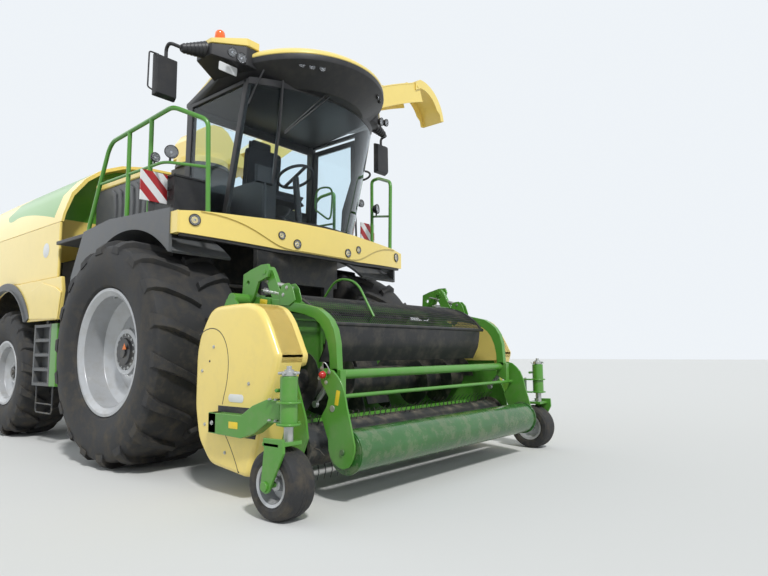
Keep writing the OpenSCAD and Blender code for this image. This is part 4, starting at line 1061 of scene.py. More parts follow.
for t0, t1, inset, deep in ((0.955, 1.0, -2, 16), (0.012, 0.03, -2, 14)):
    loops = [[bm.verts.new((x, y, floor_z + glass_h * t)) for x, y in screen_arc(d, t)]
             for t, d in ((t0, inset), (t1, inset), (t1, inset + deep), (t0, inset + deep))]
    for a, b in zip(loops, loops[1:] + loops[:1]):
        for k in range(len(a) - 1):
            bm.faces.new((a[k], a[k + 1], b[k + 1], b[k]))
built("screen_seal", bm, "chassis", (), 0, black_plastic)

bm = bmesh.new()
z0, z1 = floor_z + 12, roof_z - 78
edge = [(530, z0), door_edge[1], door_edge[2], (700, z1)]
outer = [(-27, z0)] + edge + [(9, z1)]
pane = [(29, z0 + 60), (470, z0 + 60), (500, floor_z + 430), (640, floor_z + 760), (640, z1 - 60),
        (61, z1 - 60)]
ring_slab(bm, outer, pane, 844, 36)
block(bm, (476, 879, z0 + 260), (44, 20, 130))
slab(bm, pane, 858, 8)
built("cab_door_leaf", bm, "left_door", ("cab_door",), 0.003, black_plastic,
      regions=((window_glass, lambda p: 0.8575 < p.y < 0.8665 and 2.3 < p.z < 3.45 and 0.0 < p.x < 0.66),))

# Roof
# A round moulded visor that leans over the windscreen, under a pale yellow cap. Lamp
# carriers stand out on both sides, with the flashing lamps and the mirrors' ribbed sleeves.
def hulled(bm, points):
    """The closed form stretched over points, as a moulded housing is."""
    new = [bm.verts.new(point) for point in points]
    done = bmesh.ops.convex_hull(bm, input=new)
    loose = {v for v in done["geom_interior"] + done["geom_unused"] if isinstance(v, bmesh.types.BMVert)}
    bmesh.ops.delete(bm, geom=list(loose), context="VERTS")


lean, rim_z = math.radians(5), 3670


def on_rim(points, lift):
    """Points of the roof's round rim, whose plane leans forward."""
    return [(x * math.cos(lean) - lift * math.sin(lean), y,
             rim_z + x * math.sin(lean) + lift * math.cos(lean)) for x, y in points]


visor_at = (620, 0)


def rim_outline(inset):
    """The visor's plan: a round front, and a straight back edge behind the cab."""
    front = arc(visor_at, 955 - inset, -100, 100, 72)
    return front + [(-180 + inset, 795 - inset), (-180 + inset, -795 + inset)]


bm = bmesh.new()
hulled(bm, on_rim(rim_outline(4), -60) + on_rim(rim_outline(0), -50) + on_rim(rim_outline(0), -6)
       + on_rim(rim_outline(5), -2) + [(x, y, 3532) for x, y in arc(visor_at, 700, -62, 62, 40)]
       + [(x, y, 3538) for x, y in arc(visor_at, 724, -62, 62, 40)]
       + [(x, y, z) for x in (-140, 160) for y in (-860, 860) for z in (3580, 3620)])
built("roof_visor", bm, "chassis", ("cab_roof",), 0, black_plastic, angle=24)
bm = bmesh.new()
hulled(bm, on_rim(rim_outline(4), -2) + on_rim(rim_outline(-2), 4) + on_rim(rim_outline(-2), 22)
       + on_rim(rim_outline(4), 34) + on_rim(rim_outline(50), 78) + on_rim(rim_outline(64), 88)
       + [(x, y, 3917) for x, y in arc((560, 0), 600, -180, 175, 60)]
       + [(x, y, 3908) for x, y in arc((560, 0), 630, -180, 175, 60)])
built("roof_cap", bm, "chassis", ("cab_roof",), 0, body_yellow, angle=24)


def corners(x0, x1, y0, y1, z0, z1):
    """The eight corners of a box between its limits."""
    return [(x, y, z) for x in (x0, x1) for y in (y0, y1) for z in (z0, z1)]


bm = bmesh.new()
hulled(bm, corners(470, 990, -940, -800, 3655, 3843) + corners(560, 790, -1200, -1180, 3735, 3843))
bar(bm, (700, -1040, 3860), (700, -1040, 3924), 66)
built("wing_housings", bm, "chassis", ("roof_wings",), 0.014, black_plastic,
      both=True, segments=3)
bm = bmesh.new()
hulled(bm, corners(460, 1000, -940, -800, 3845, 3918) + corners(550, 800, -1202, -1180, 3845, 3888))
built("wing_lids", bm, "chassis", ("roof_wings",), 0.012, body_yellow,
      both=True, segments=3)
amber = bpy.data.materials.new("amber_dome")
amber.use_nodes = True
dome = amber.node_tree.nodes["Principled BSDF"]
dome.inputs["Base Color"].default_value = (0.95, 0.16, 0.01, 1)
dome.inputs["Roughness"].default_value = 0.12
dome.inputs["Coat Weight"].default_value = 0.6
for side in (-1, 1):
    at = Vector((0.700, side * 1.040, 3.924))
    turned(f"beacon_foot_{'r' if side < 0 else 'l'}",
           [(0, 0), (0.062, 0), (0.063, 0.006), (0.060, 0.022), (0.054, 0.027), (0, 0.027)], at, (0, 0, 1),
           "chassis", black_plastic, 40)
    turned(f"beacon_dome_{'r' if side < 0 else 'l'}",
           [(0, 0.026), (0.052, 0.026), (0.050, 0.05), (0.051, 0.053), (0.048, 0.092)]
           + [(0.047 * math.cos(a), 0.096 + 0.042 * math.sin(a))
              for a in (math.radians(10 * i) for i in range(1, 9))] + [(0, 0.138)], at, (0, 0, 1),
           "chassis", amber, 40, 50)

# Mirrors
# Black plastic mirror heads hang from bent tubes, which leave the roof's wings in ribbed
# rubber sleeves; the glass faces back.
def rounded_outline(width, height, corner, steps=4):
    """A rectangle round the origin, with rounded corners."""
    return [(sx * (width / 2 - corner) + corner * math.cos(a),
             sy * (height / 2 - corner) + corner * math.sin(a))
            for sx, sy, start in ((1, 1, 0), (-1, 1, 90), (-1, -1, 180), (1, -1, 270))
            for a in (math.radians(start + 90 * i / steps) for i in range(steps + 1))]


root, turn_at = Vector((680, -1180, 3812)), Vector((680, -1430, 3730))
bm = bmesh.new()
for i in range(7):
    bar(bm, root.lerp(turn_at, i / 7), root.lerp(turn_at, (i + 0.96) / 7), 84 - 6 * i, 68 - 6 * i, 32)
bar(bm, root.lerp(turn_at, 0.02), turn_at, 58, 30, 32)
bent_bar(bm, [turn_at + Vector((0, 20, 8)), (640, -1520, 3760), (560, -1505, 3740),
              (560, -1505, 3640)], 16, 40)
bent_bar(bm, [(560, -1570, 3655), (545, -1655, 3660), (545, -1660, 3330), (560, -1620, 3310)], 7, 20)
hulled(bm, [(x, y, z) for x in (526, 545) for y in (-1612, -1398) for z in (3272, 3658)]
       + [(x, y, z) for x in (575, 594) for y in (-1600, -1410) for z in (3290, 3640)])
built("mirror_heads", bm, "chassis", ("mirrors",), 0.010, black_plastic,
      both=True, segments=3)
mirror_glass = bpy.data.materials.new("mirror_glass")
mirror_glass.use_nodes = True
face = mirror_glass.node_tree.nodes["Principled BSDF"]
face.inputs["Base Color"].default_value = (0.8, 0.82, 0.84, 1)
face.inputs["Metallic"].default_value = 1.0
face.inputs["Roughness"].default_value = 0.04
for side in (-1, 1):
    plate(f"mirror_face_{'r' if side < 0 else 'l'}", rounded_outline(0.185, 0.35, 0.02),
          stood((0.526, side * 1.505, 3.465), (0, -1, 0), (0, 0, 1)), 0.003, "chassis",
          mirror_glass, 0.001)

# Seat
# A driver's seat on a bellows, bolted to the cab floor: squab, backrest and headrest are foam
# pads in dark cloth, with sewn channels across them.
def cushion(name, size, place, lean, channels):
    """A stuffed pad: crowned on top, drawn in along its sides, with sewn channels across it."""
    bm = bmesh.new()
    bmesh.ops.create_cube(bm, size=2)
    bmesh.ops.subdivide_edges(bm, edges=list(bm.edges), cuts=23, use_grid_fill=True)
    for v in bm.verts:
        x, y, z = v.co
        pulled = 1 - 0.10 * max(abs(x) ** 6, abs(y) ** 6) * (1 - abs(z))
        crown = (1 - abs(x) ** 4) * (1 - abs(y) ** 4)
        sunk = sum(math.exp(-((x - c) / 0.035) ** 2) for c in channels) * 0.16 * (1 if z > 0 else 0)
        seam = 0.10 * math.exp(-((abs(y) - 0.72) / 0.03) ** 2) if z > 0 else 0
        corner = 1 - 0.06 * (abs(x) ** 8) * (abs(y) ** 8)
        v.co = Vector((x * pulled * corner * size[0] / 2, y * pulled * corner * size[1] / 2,
                       (z * (0.72 + 0.28 * crown) - sunk - seam) * size[2] / 2))
    bm.transform(Matrix.Translation(place) @ Matrix.Rotation(math.radians(lean), 4, "Y"))
    mesh = bpy.data.meshes.new(name)
    bm.to_mesh(mesh)
    bm.free()
    shaded(mesh, 80)
    piece = finished(name, mesh, "chassis", seat_cloth)
    rounder = piece.modifiers.new("rounder", "SUBSURF")
    rounder.levels = rounder.render_levels = 1
    return piece


seat_pad = cushion("seat_cushion", (0.47, 0.50, 0.13), (0.28, 0, 2.655), -4, (-0.45, 0.0, 0.45))
seat_back = cushion("seat_backrest", (0.60, 0.46, 0.12), (0.045, 0, 2.99), -84, (-0.5, -0.1, 0.3))
head_pad = cushion("seat_headrest", (0.17, 0.27, 0.09), (0.0, 0, 3.32), -84, (0.0,))
pedestal = turned("seat_pedestal",
                  [(0, 0), (0.19, 0), (0.20, 0.02), (0.17, 0.05), (0.13, 0.10), (0.15, 0.13), (0.12, 0.17),
                   (0.15, 0.20), (0.12, 0.24), (0.17, 0.29), (0.19, 0.335), (0, 0.335)], (0.26, 0, 2.2505),
                  (0, 0, 1), "chassis", black_plastic, 48)
for piece in (seat_pad, seat_back, head_pad, pedestal):
    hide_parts("seat")

# Spout
# The curved channel that throws the crop, folded from yellow sheet and open below. It turns
# on a ring behind the cab, and a flap hangs on a pin at its tip.
reach, tip_z, root_u, root_v, bend = 4400, 6000, 550, 3665, 23
chord = math.hypot(reach - root_u, tip_z - root_v)
chord_a = math.degrees(math.atan2(tip_z - root_v, reach - root_u))
boom_steps = 24
end_a = chord_a - bend / 2
boom_r = chord / (2 * math.sin(math.radians(bend / 2)))
boom_c = (reach + boom_r * math.sin(math.radians(end_a)), tip_z - boom_r * math.cos(math.radians(end_a)))


def boom_line(d0, d1):
    """The boom's curve in its own plane, in by d0 at the tip and d1 at the root."""
    line = []
    for i in range(boom_steps + 1):
        a = math.radians(90 + end_a + bend * i / boom_steps)
        r = boom_r - d0 - (d1 - d0) * i / boom_steps
        line.append((boom_c[0] + r * math.cos(a), boom_c[1] + r * math.sin(a)))
    return line


slewed = Matrix.Translation((-1150, 0, 0)) @ Matrix.Rotation(math.pi / 2, 4, "Z")
bm = bmesh.new()
outer = boom_line(0, 0) + boom_line(350, 330)[::-1]
slab(bm, outer, -220, 12)
slab(bm, outer, 208, 12)
slab(bm, boom_line(0, 0) + boom_line(12, 12)[::-1], -209, 418)
for k in (-1, 1):
    slab(bm, boom_line(322, 300) + boom_line(358, 340)[::-1], k * 218 - 7, 14)
    slab(bm, boom_line(4, 4) + boom_line(22, 22)[::-1], k * 222 - 4, 8)
    bar(bm, (4340, k * 214, 5900), (4340, k * 248, 5900), 18)
    slab(bm, [(560, 3410), (540, 3510), (680, 3620), (790, 3530), (680, 3410)], -223 if k < 0 else 205, 18)
for i in range(5):
    at = boom_line(2, 2)[4 * i + 2]
    slab(bm, ribbon([(at[0] - 14, at[1] - 6), (at[0] + 14, at[1] + 6)], 26), -224, 448)
bm.transform(slewed)
built("spout_channel", bm, "spout_arm", ("spout_boom",), 0.003, body_yellow)
bm = bmesh.new()
bar(bm, (0, 0, 2700.3), (0, 0, 2781), 320, steps=64)
slab(bm, [(-300, 2780), (-280, 3620), (-200, 3740), (-60, 3840), (40, 3878), (150, 3885), (250, 3830),
          (400, 3640), (500, 3560), (700, 3530), (700, 3420), (300, 2780)], -190, 380)
bar(bm, (620, -240, 3470), (620, 240, 3470), 25)
for k in (-1, 1):
    slab(bm, [(-290, 2779), (290, 2779), (200, 2880), (-200, 2880)], k * 212 - 6, 12)
bm.transform(slewed)
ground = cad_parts["spout_base"].data
duct_z = min(v.co.z for v in ground.vertices) * 1000
for v in bm.verts:
    if v.co.z < 2900:
        v.co.z += duct_z - 2700.3
built("spout_turret", bm, "spout_slew", ("spout_base",), 0.006, body_yellow)
bm = bmesh.new()
flap_c, w = (4500, 5370), 245
side = (arc(flap_c, 690, 97, 8, 20) + arc(flap_c, 591, 8, 20, 2) + arc(flap_c, 525, 30, 97, 10)
        + [(4280, 5810), (4280, 5960)])
slab(bm, side, -w, 12)
slab(bm, side, w - 12, 12)
slab(bm, arc(flap_c, 690, 97, 8, 20) + arc(flap_c, 678, 8, 97, 20), -w + 11, 2 * w - 22)
bar(bm, (4340, -w - 10, 5900), (4340, -w + 16, 5900), 26)
bar(bm, (4340, w - 16, 5900), (4340, w + 10, 5900), 26)
bm.transform(slewed)
built("spout_end_flap", bm, "spout_end", ("spout_flap",), 0.003, body_yellow)

# Header
# The pick-up's welded green frame: back wall with posts, trough round the auger, side plates
# and cross tube, with brackets and pins on which the press arms swing.
drum_dark = painted("drum_dark", (0.03, 0.032, 0.033), 0.45, 0.5, bump=0.03)
h, wall_x = 1380, 1340.3
auger_x, auger_z = 1690, 740
reel_x, reel_z = 2130, 350
tube_x, tube_z = 1440, 1420
hinge_x, hinge_z = 1663, 1630
arm_y = 1180
bm = bmesh.new()
for low, size in (((wall_x, -h, 330), (14, 1060, 1010)), ((wall_x, 320, 330), (14, 1060, 1010)),
                  ((wall_x, -321, 330), (14, 642, 190)),
                  ((wall_x, -321, 1080), (14, 642, 260)), ((wall_x, -h, 330), (60, 2 * h, 60)),
                  ((wall_x, -h, 1285), (60, 2 * h, 60))):
    block(bm, low, size)
for y in (-1300, -975, -650, -340, 340, 650, 975, 1300):
    block(bm, (wall_x, y - 15, 331), (42, 30, 1008))
slab(bm, arc((auger_x, auger_z), 295, 185, 300, 32) + [(1880, 457), (1880, 434)]
     + arc((auger_x, auger_z), 308, 300, 185, 32), -h, 2 * h)
bar(bm, (tube_x, -h - 1, tube_z), (tube_x, h + 1, tube_z), 50, steps=40)
for y in (-900, -300, 285, 885):
    slab(bm, [(wall_x, 1240), (wall_x, 1346), (1405, 1440), (1470, 1440), (1470, 1390),
              (1400, 1240)], y, 15)
for side in (-1, 1):
    y = -h - 16 if side < 0 else h
    slab(bm, [(1340, 330), (1340, 1320), (1400, 1425), (1490, 1425), (1620, 1320), (1940, 1200),
              (2160, 990), (2215, 800), (2310, 560), (2330, 430), (2270, 300), (2130, 210),
              (1500, 230)], y, 16)
    bar(bm, (auger_x, side * (h + 16), auger_z), (auger_x, side * (h - 60), auger_z), 30)
    bar(bm, (reel_x, side * (h + 16), reel_z), (reel_x, side * (h - 60), reel_z), 25)
    y = -1240 if side < 0 else 1218
    bracket_hole = [(1460 + 20 * math.cos(math.radians(d)), 1560 + 20 * math.sin(math.radians(d)))
                    for d in (240, 180, 120, 80, 60, 45, 30, 0, 330, 290, 260)]
    ring_slab(bm, [(1380, 1340), (1400, 1630), (1490, 1660), (1620, 1690), (1700, 1690), (1720, 1640),
                   (1700, 1590), (1590, 1560), (1535, 1440), (1480, 1380), (1400, 1380)],
              bracket_hole, y, 22)
    bar(bm, (hinge_x, side * 1245, hinge_z), (hinge_x, side * 1140, hinge_z), 20)
    slab(bm, [(1440, 1470), (1537, 1441), (1700, 1420), (1700, 1335), (1440, 1370)], side * arm_y - 28, 56)
    bar(bm, (tube_x, side * arm_y - 30, tube_z), (tube_x, side * arm_y + 30, tube_z), 72, steps=40)
built("header_frame_plates", bm, "header", ("header_frame",), 0.003, leaf_green)

# End guards
# Moulded yellow guards on both ends of the header, with a nose that reaches inward over
# the side plate; bolts, seams between the moulded parts, and a dark slot for the beam.
edge = [(1440, 1230), (1500, 1310), (1570, 1345), (1760, 1352), (1951, 1352), (2070, 1318), (2150, 1235),
        (2230, 1090), (2262, 1024), (2286, 985), (2262, 905), (2236, 830), (2151, 641), (2075, 400),
        (1990, 160), (1540, 210), (1390, 370), (1335, 610), (1340, 1000), (1375, 1130)]
nose = [(1700, 1340), (1951, 1352), (2070, 1318), (2150, 1235), (2230, 1090), (2262, 1024), (2286, 985),
        (2262, 905), (1700, 905)]


def rounded_slab(bm, outline, y0, y1, r):
    """A moulded plate whose outer edge rolls over with radius r; the outline is drawn in by it."""
    middle = Vector((sum(x for x, _ in outline) / len(outline), sum(z for _, z in outline) / len(outline)))
    smooth = []
    for i, at in enumerate(outline):
        a, b, c = Vector(outline[i - 1]), Vector(at), Vector(outline[(i + 1) % len(outline)])
        first, last = b.lerp(a, min(0.4, 60 / (a - b).length)), b.lerp(c, min(0.4, 60 / (c - b).length))
        smooth += [first.lerp(b, t).lerp(b.lerp(last, t), t) for t in (0, 0.33, 0.67, 1)]
    rows = []
    for t in range(7):
        turn = math.pi / 2 * t / 6
        inset, y = r * (1 - math.cos(turn)), y0 + r * (1 - math.sin(turn))
        row = []
        for i, at in enumerate(smooth):
            way = (smooth[(i + 1) % len(smooth)] - smooth[i - 1]).normalized()
            inward = Vector((-way.y, way.x))
            if inward.dot(middle - at) < 0:
                inward = -inward
            row.append(bm.verts.new((at.x + inward.x * inset, y, at.y + inward.y * inset)))
        rows.append(row)
    rows.insert(0, [bm.verts.new((at.x, y1, at.y)) for at in smooth])
    for a, b in zip(rows, rows[1:]):
        for i in range(len(a)):
            j = (i + 1) % len(a)
            bm.faces.new((a[i], a[j], b[j], b[i]))
    bm.faces.new(rows[0][::-1])
    bm.faces.new(rows[-1])


bm = bmesh.new()
rounded_slab(bm, edge, -1620, -1397, 40)
rounded_slab(bm, nose, -1618, -1350, 40)
built("end_guards", bm, "header", ("header_shields",), 0, body_yellow, both=True, angle=40)
bm = bmesh.new()
slab(bm, ribbon(bezier([(1380, 1135), (1640, 1290), (1850, 1060), (1704, 690)], 16) + [(1690, 640)],
                6), -1620.8, 6)
slab(bm, ribbon(bezier([(1725, 440), (1760, 400), (1840, 300), (1890, 190)], 8), 6), -1620.8, 6)
bar(bm, (1524, -1620.9, 944), (1524, -1612, 944), 9)
built("guard_seams", bm, "header", (), 0, black_plastic, both=True)
bm = bmesh.new()
slab(bm, [(1640, 428), (1640, 632), (2120, 632), (2088, 520), (2060, 428)], -1621.2, 12)
built("guard_slots", bm, "header", ("header_shields",), 0.002, black_plastic, both=True)
for side in (-1, 1):
    bolts(f"guard_bolts_{'r' if side < 0 else 'l'}",
          [((x, side * 1.6205, z), (0, side, 0)) for x,
           z in ((1.572, 1.048), (1.434, 0.873), (1.987, 0.794), (1.481, 0.488), (1.732, 0.310))], "header",
          zinc_plate, "steel", 0.009)

# Gauge wheel beams and casters
# Green beams reach round the guards to sleeves, in which silver posts turn; each caster
# has a bridge over its tyre, one leaning leg, and a star crank on top.
bm = bmesh.new()
slab(bm, [(1640, 450), (1640, 590), (2010, 590), (2130, 660), (2280, 709), (2400, 709), (2400, 565),
          (2290, 565), (2150, 480), (2010, 440)], -1700, 78)
block(bm, (1640, -1700, 450), (90, 303, 140))
bar(bm, (2517, -1724, 560), (2517, -1724, 860), 55, steps=40)
for z in (565, 695):
    bar(bm, (2517, -1724, z), (2517, -1724, z + 14), 76, steps=40)
    block(bm, (2300, -1710, z), (200, 100, 14))
bar(bm, (2440, -1765, 772), (2440, -1683, 772), 12)
built("beam_arms", bm, "header", ("gauge_beams",), 0.005, leaf_green, both=True, segments=3)
for side, name in ((-1, "r"), (1, "l")):
    bolts(f"beam_bolts_{name}", [((2.32 + 0.06 * i, side * 1.7105, 0.579 + 0.13 * k), (0, 0, 1))
                                 for i in range(2) for k in range(2)]
          + [((1.685, side * 1.7005, 0.52), (0, side, 0))], "header", zinc_plate, "steel", 0.011)
    bm = bmesh.new()
    bar(bm, (2517, -1724, 470), (2517, -1724, 900), 29.5, steps=32)
    bar(bm, (2517, -1724, 862), (2517, -1724, 890), 46, steps=32)
    bar(bm, (2517, -1724, 862), (2517, -1724, 922), 16)
    for i in range(5):
        a = math.radians(72 * i)
        bar(bm, (2517, -1724, 878), (2517 + 68 * math.cos(a), -1724 + 68 * math.sin(a), 878), 9)
    built(f"caster_post_{name}", bm, f"caster_{name}", (f"caster_{name}",), 0.002, zinc_plate,
          mirror=side > 0)
    bm = bmesh.new()
    leg = -1711 - 97.5 - 34
    block(bm, (2415, leg, 448), (150, 187, 24))
    slab(bm, arc((2445, 215), 42, 180, 350, 12)
         + [(2605, 420), (2600, 500), (2420, 495), (2430, 430)], leg, 20)
    bar(bm, (2445, leg - 14, 215), (2445, leg + 2, 215), 30)
    bar(bm, (2445, leg + 10, 215), (2445, leg + 167, 215), 18)
    built(f"caster_leg_{name}", bm, f"caster_{name}", (f"caster_{name}",), 0.004, leaf_green,
          mirror=side > 0)

# Auger and pick-up reel
# A dark tube with flights of opposed hands and paddles in the middle, and a drum with
# rows of sprung tines.
bm = bmesh.new()
bar(bm, (auger_x, -1370, auger_z), (auger_x, 1370, auger_z), 130, steps=56)
for hand in (-1, 1):
    count, rows = 84, []
    for i in range(count + 1):
        a = math.tau * i / 30
        y = hand * (1350 - i * 420 / 30)
        if abs(y) < 150:
            break
        rows.append([bm.verts.new((auger_x + r * math.cos(a), y + d * hand, auger_z + r * math.sin(a)))
                     for r, d in ((122, 0), (262, 4), (262, 10), (122, 9))])
    for a, b in zip(rows, rows[1:]):
        for k in range(4):
            bm.faces.new((a[k], a[(k + 1) % 4], b[(k + 1) % 4], b[k]))
    bm.faces.new(rows[0][::-1])
    bm.faces.new(rows[-1])
for i in range(4):
    a = math.radians(90 * i + 20)
    out, flat = Vector((math.cos(a), 0, math.sin(a))), Vector((-math.sin(a), 0, math.cos(a)))
    middle = Vector((auger_x, 0, auger_z))
    hulled(bm, [middle + out * r + flat * t + Vector((0, y, 0)) for r in (124, 215) for t in (0, 12)
                for y in (-148, 148)])
built("auger_flights", bm, "auger_rotor", ("auger",), 0.001, drum_dark, segments=1)
bm = bmesh.new()
bar(bm, (reel_x, -1350, reel_z), (reel_x, 1350, reel_z), 150, steps=56)
for y in (-1350, 1338):
    bar(bm, (reel_x, y, reel_z), (reel_x, y + 12, reel_z), 180, steps=56)
for row in range(5):
    for i in range(39):
        y = -1285 + 2570 * i / 38
        a = math.tau * (row + (0.12 if y > 0 else 0)) / 5
        points = [Vector((reel_x + r * math.cos(a + k), y + shift, reel_z + r * math.sin(a + k))) for r, k,
                  shift in ((146, 0, 0), (200, -0.02, 0), (253, -0.16, 0))]
        bar(bm, points[0], points[1], 3.6, 3.3, 8)
        bar(bm, points[1], points[2], 3.3, 2.8, 8)
built("reel_tines", bm, "reel_rotor", ("pickup_reel",), 0, drum_dark)

# Press frame
# Bent green arms with leaf plates at their ends, a silver turnbuckle and a spring on each
# side, the tubes between them, the roller, and a dark net over a round front edge.
leaf_y = 1290
arm_top = [(1712, 1418), (1851, 1401), (2054, 1360), (2220, 1322), (2290, 1280), (2345, 1235), (2390, 1165),
           (2415, 1067), (2428, 860)]
arm_low = [(1712, 1333), (1882, 1320), (2083, 1281), (2190, 1245), (2250, 1200), (2290, 1150), (2325, 1070),
           (2345, 977), (2350, 850)]
leaf = [(2345, 885), (2400, 895), (2455, 880), (2500, 845), (2540, 800), (2570, 730), (2590, 640),
        (2618, 550), (2640, 470), (2660, 400), (2658, 360), (2645, 320), (2626, 284), (2600, 255),
        (2553, 240), (2510, 250), (2470, 270), (2438, 308), (2420, 350), (2415, 420), (2350, 570),
        (2400, 640), (2420, 700), (2345, 800)]
bm = bmesh.new()
slab(bm, arm_top + arm_low[::-1], -arm_y - 28, 56)
slab(bm, [(1618, 1630), (1640, 1672), (1690, 1672), (1725, 1625), (1790, 1500), (1850, 1400), (1725, 1400),
          (1700, 1440), (1625, 1590)], -arm_y - 20, 40)
bar(bm, (hinge_x, -arm_y - 24, hinge_z), (hinge_x, -arm_y + 24, hinge_z), 46, steps=36)
for y in (-arm_y - 36, -arm_y + 28):
    slab(bm, [(1820, 1440), (1834, 1512), (1880, 1524), (1923, 1525), (1965, 1484), (1997, 1390),
              (1925, 1350), (1815, 1360)], y, 8)
slab(bm, [(1820, 1340), (1800, 1295), (1840, 1270), (1900, 1330)], -arm_y - 10, 20)
slab(bm, leaf, -leaf_y, 15)
slab(bm, [(2345, 885), (2400, 895), (2455, 880), (2455, 700), (2345, 760)], -arm_y - 28, 56)
bar(bm, (2378, -leaf_y - 12, 848), (2378, 1, 848), 34, steps=32)
bar(bm, (2440, -leaf_y + 1, 700), (2440, 1, 700), 15)
built("press_arm_plates", bm, "press_frame", ("press_arms",), 0.005, leaf_green,
      both=True, segments=3)
bm = bmesh.new()
bar(bm, (1540, -arm_y - 30, 1590), (1540, -arm_y + 30, 1590), 9)
bar(bm, (1540, -arm_y, 1590), (1900, -arm_y, 1492), 9)
bar(bm, (1610, -arm_y, 1571), (1850, -arm_y, 1506), 19)
bar(bm, (1640, -arm_y, 1563), (1662, -arm_y, 1557), 26, steps=6)
for x, z in ((1900, 1492), (1860, 1440)):
    bar(bm, (x, -arm_y - 42, z), (x, -arm_y + 42, z), 11)
bar(bm, (1556, -arm_y, 1500), (1860, -arm_y, 1440), 8)
spring = []
for i in range(0, 12 * 14 + 1):
    t, a = i / (12 * 14), math.tau * i / 14
    spring.append((1600 + 190 * t - 0.19 * 21 * math.sin(a), -arm_y + 21 * math.cos(a),
                   1491 - 37 * t + 21 * math.sin(a)))
for p, q in zip(spring, spring[1:]):
    bar(bm, p, q, 4.4, steps=6)
y = -arm_y - 44
bar(bm, (2375, y, 812), (2225, y, 640), 12)
bar(bm, (2340, y, 770), (2262, y, 682), 19)
for x, z in ((2225, 640), (2375, 812)):
    bar(bm, (x, y - 12, z), (x, y + 14, z), 24)
bar(bm, (2459, -leaf_y - 5, 628), (2459, -leaf_y - 1, 628), 22)
built("press_links", bm, "press_frame", ("press_arms",), 0.0015, zinc_plate, both=True)
for side, name in ((-1, "r"), (1, "l")):
    bolts(f"press_bolts_{name}", [((2.378 + 0.052 * math.cos(a), side * (leaf_y + 0.4) / 1000,
                                    0.848 + 0.052 * math.sin(a)), (0, side, 0))
                                  for a in (math.tau * i / 4 + 0.4 for i in range(4))]
          + [((x, side * 1.2165, z), (0, side, 0)) for x, z in ((1.900, 1.492), (1.860, 1.440))],
          "press_frame", zinc_plate, "steel", 0.010)

net_black = painted("net_black", (0.015, 0.016, 0.017), 0.6, 0.3, bump=0.0)
top = bezier([(1560, 1452), (1800, 1490), (2060, 1420), (2200, 1215)], 22)
half = 1143
bm = bmesh.new()
rows = [[bm.verts.new((x, -half + 2 * half * i / 92, z)) for i in range(93)] for x, z in top]
for a, b in zip(rows, rows[1:]):
    for i in range(92):
        bm.faces.new((a[i], a[i + 1], b[i + 1], b[i]))
net = built("guard_net", bm, "press_frame", ("wind_guard",), 0, net_black)
wires = net.modifiers.new("wires", "WIREFRAME")
wires.thickness = 0.0065
wires.use_boundary = True
bm = bmesh.new()
for y in (-half, half - 30):
    slab(bm, ribbon(top, 14), y, 30)
slab(bm, ribbon(top[:2], 14), -half, 2 * half)
bar(bm, (2200, -half, 1215), (2200, half, 1215), 16)
slab(bm, [(2194, 1216), (2206, 1216), (2196, 1120), (2180, 1040), (2120, 930), (2108, 936), (2168, 1044),
          (2184, 1122)], -half + 60, 2 * half - 120)
built("guard_frame", bm, "press_frame", ("wind_guard",), 0.002, black_plastic)
bm = bmesh.new()
bent_bar(bm, [(x, -500, z) for x, z in ((1540, 1440), (1720, 1640), (1960, 1600), (2150, 1290))], 10, 160)
built("guard_hoop", bm, "press_frame", (), 0, leaf_green)

bm = bmesh.new()
w = leaf_y - 15 - 8
bar(bm, (2553, -w, 350), (2553, w, 350), 140, steps=72)
for side in (-1, 1):
    bar(bm, (2553, side * (w - 16), 350), (2553, side * (w - 4), 350), 152, steps=72)
    bar(bm, (2553, side * w, 350), (2553, side * (leaf_y + 10), 350), 20)
# The roller's green is a darker copy of the leaf green: painted shade for the roller where it sits low
# under the press frame and wind guard; its strong mottle is random tone.
wet_green = painted("wet_green", (0.03, 0.14, 0.025), 0.22, 0.35, bump=0.02, coat=0.3, mottle=0.25)
built("roller_drum", bm, "roller", ("press_roller",), 0.003, wet_green)

# Work lamps
# Round black lamps on stems at the rails, under the roof's visor and on the wings.
for name, at, way, r in (("rail_inner", (0.335, -1.450, 2.791), (1, 0, 0), 0.046),
                         ("rail_right", (0.560, -1.422, 2.798), (1, -0.36, 0), 0.062),
                         ("rail_left", (0.560, 1.422, 2.798), (1, 0.36, 0), 0.062)):
    round_lamp("lamp_" + name, at, way, r)
bm = bmesh.new()
bar(bm, (320, -1450, 2716), (320, -1450, 2776), 9)
bar(bm, (545, -1424, 2705), (545, -1424, 2778), 10)
bar(bm, (545, 1424, 2705), (545, 1424, 2778), 10)
built("lamp_stems", bm, "chassis", (), 0, black_plastic)
for i, (x, y, z) in enumerate(((1.332, -0.564, 3.709), (1.381, -0.482, 3.702), (1.429, -0.392, 3.700),
                               (1.413, 0.445, 3.710), (1.357, 0.541, 3.714))):
    way = Vector((x - 0.62, y, -0.12)).normalized()
    round_lamp(f"visor_lamp_{i}", Vector((x, y, z - 0.01)), way, 0.034, deep=0.7)
for side in (-1, 1):
    for i, (x, y, z, r) in enumerate(((0.99, 1.00, 3.70, 0.05), (0.985, 1.10, 3.72, 0.045))):
        round_lamp(f"wing_lamp_{i}_{'r' if side < 0 else 'l'}", (x, side * y, z),
                   (1, side * 0.25, -0.15), r)

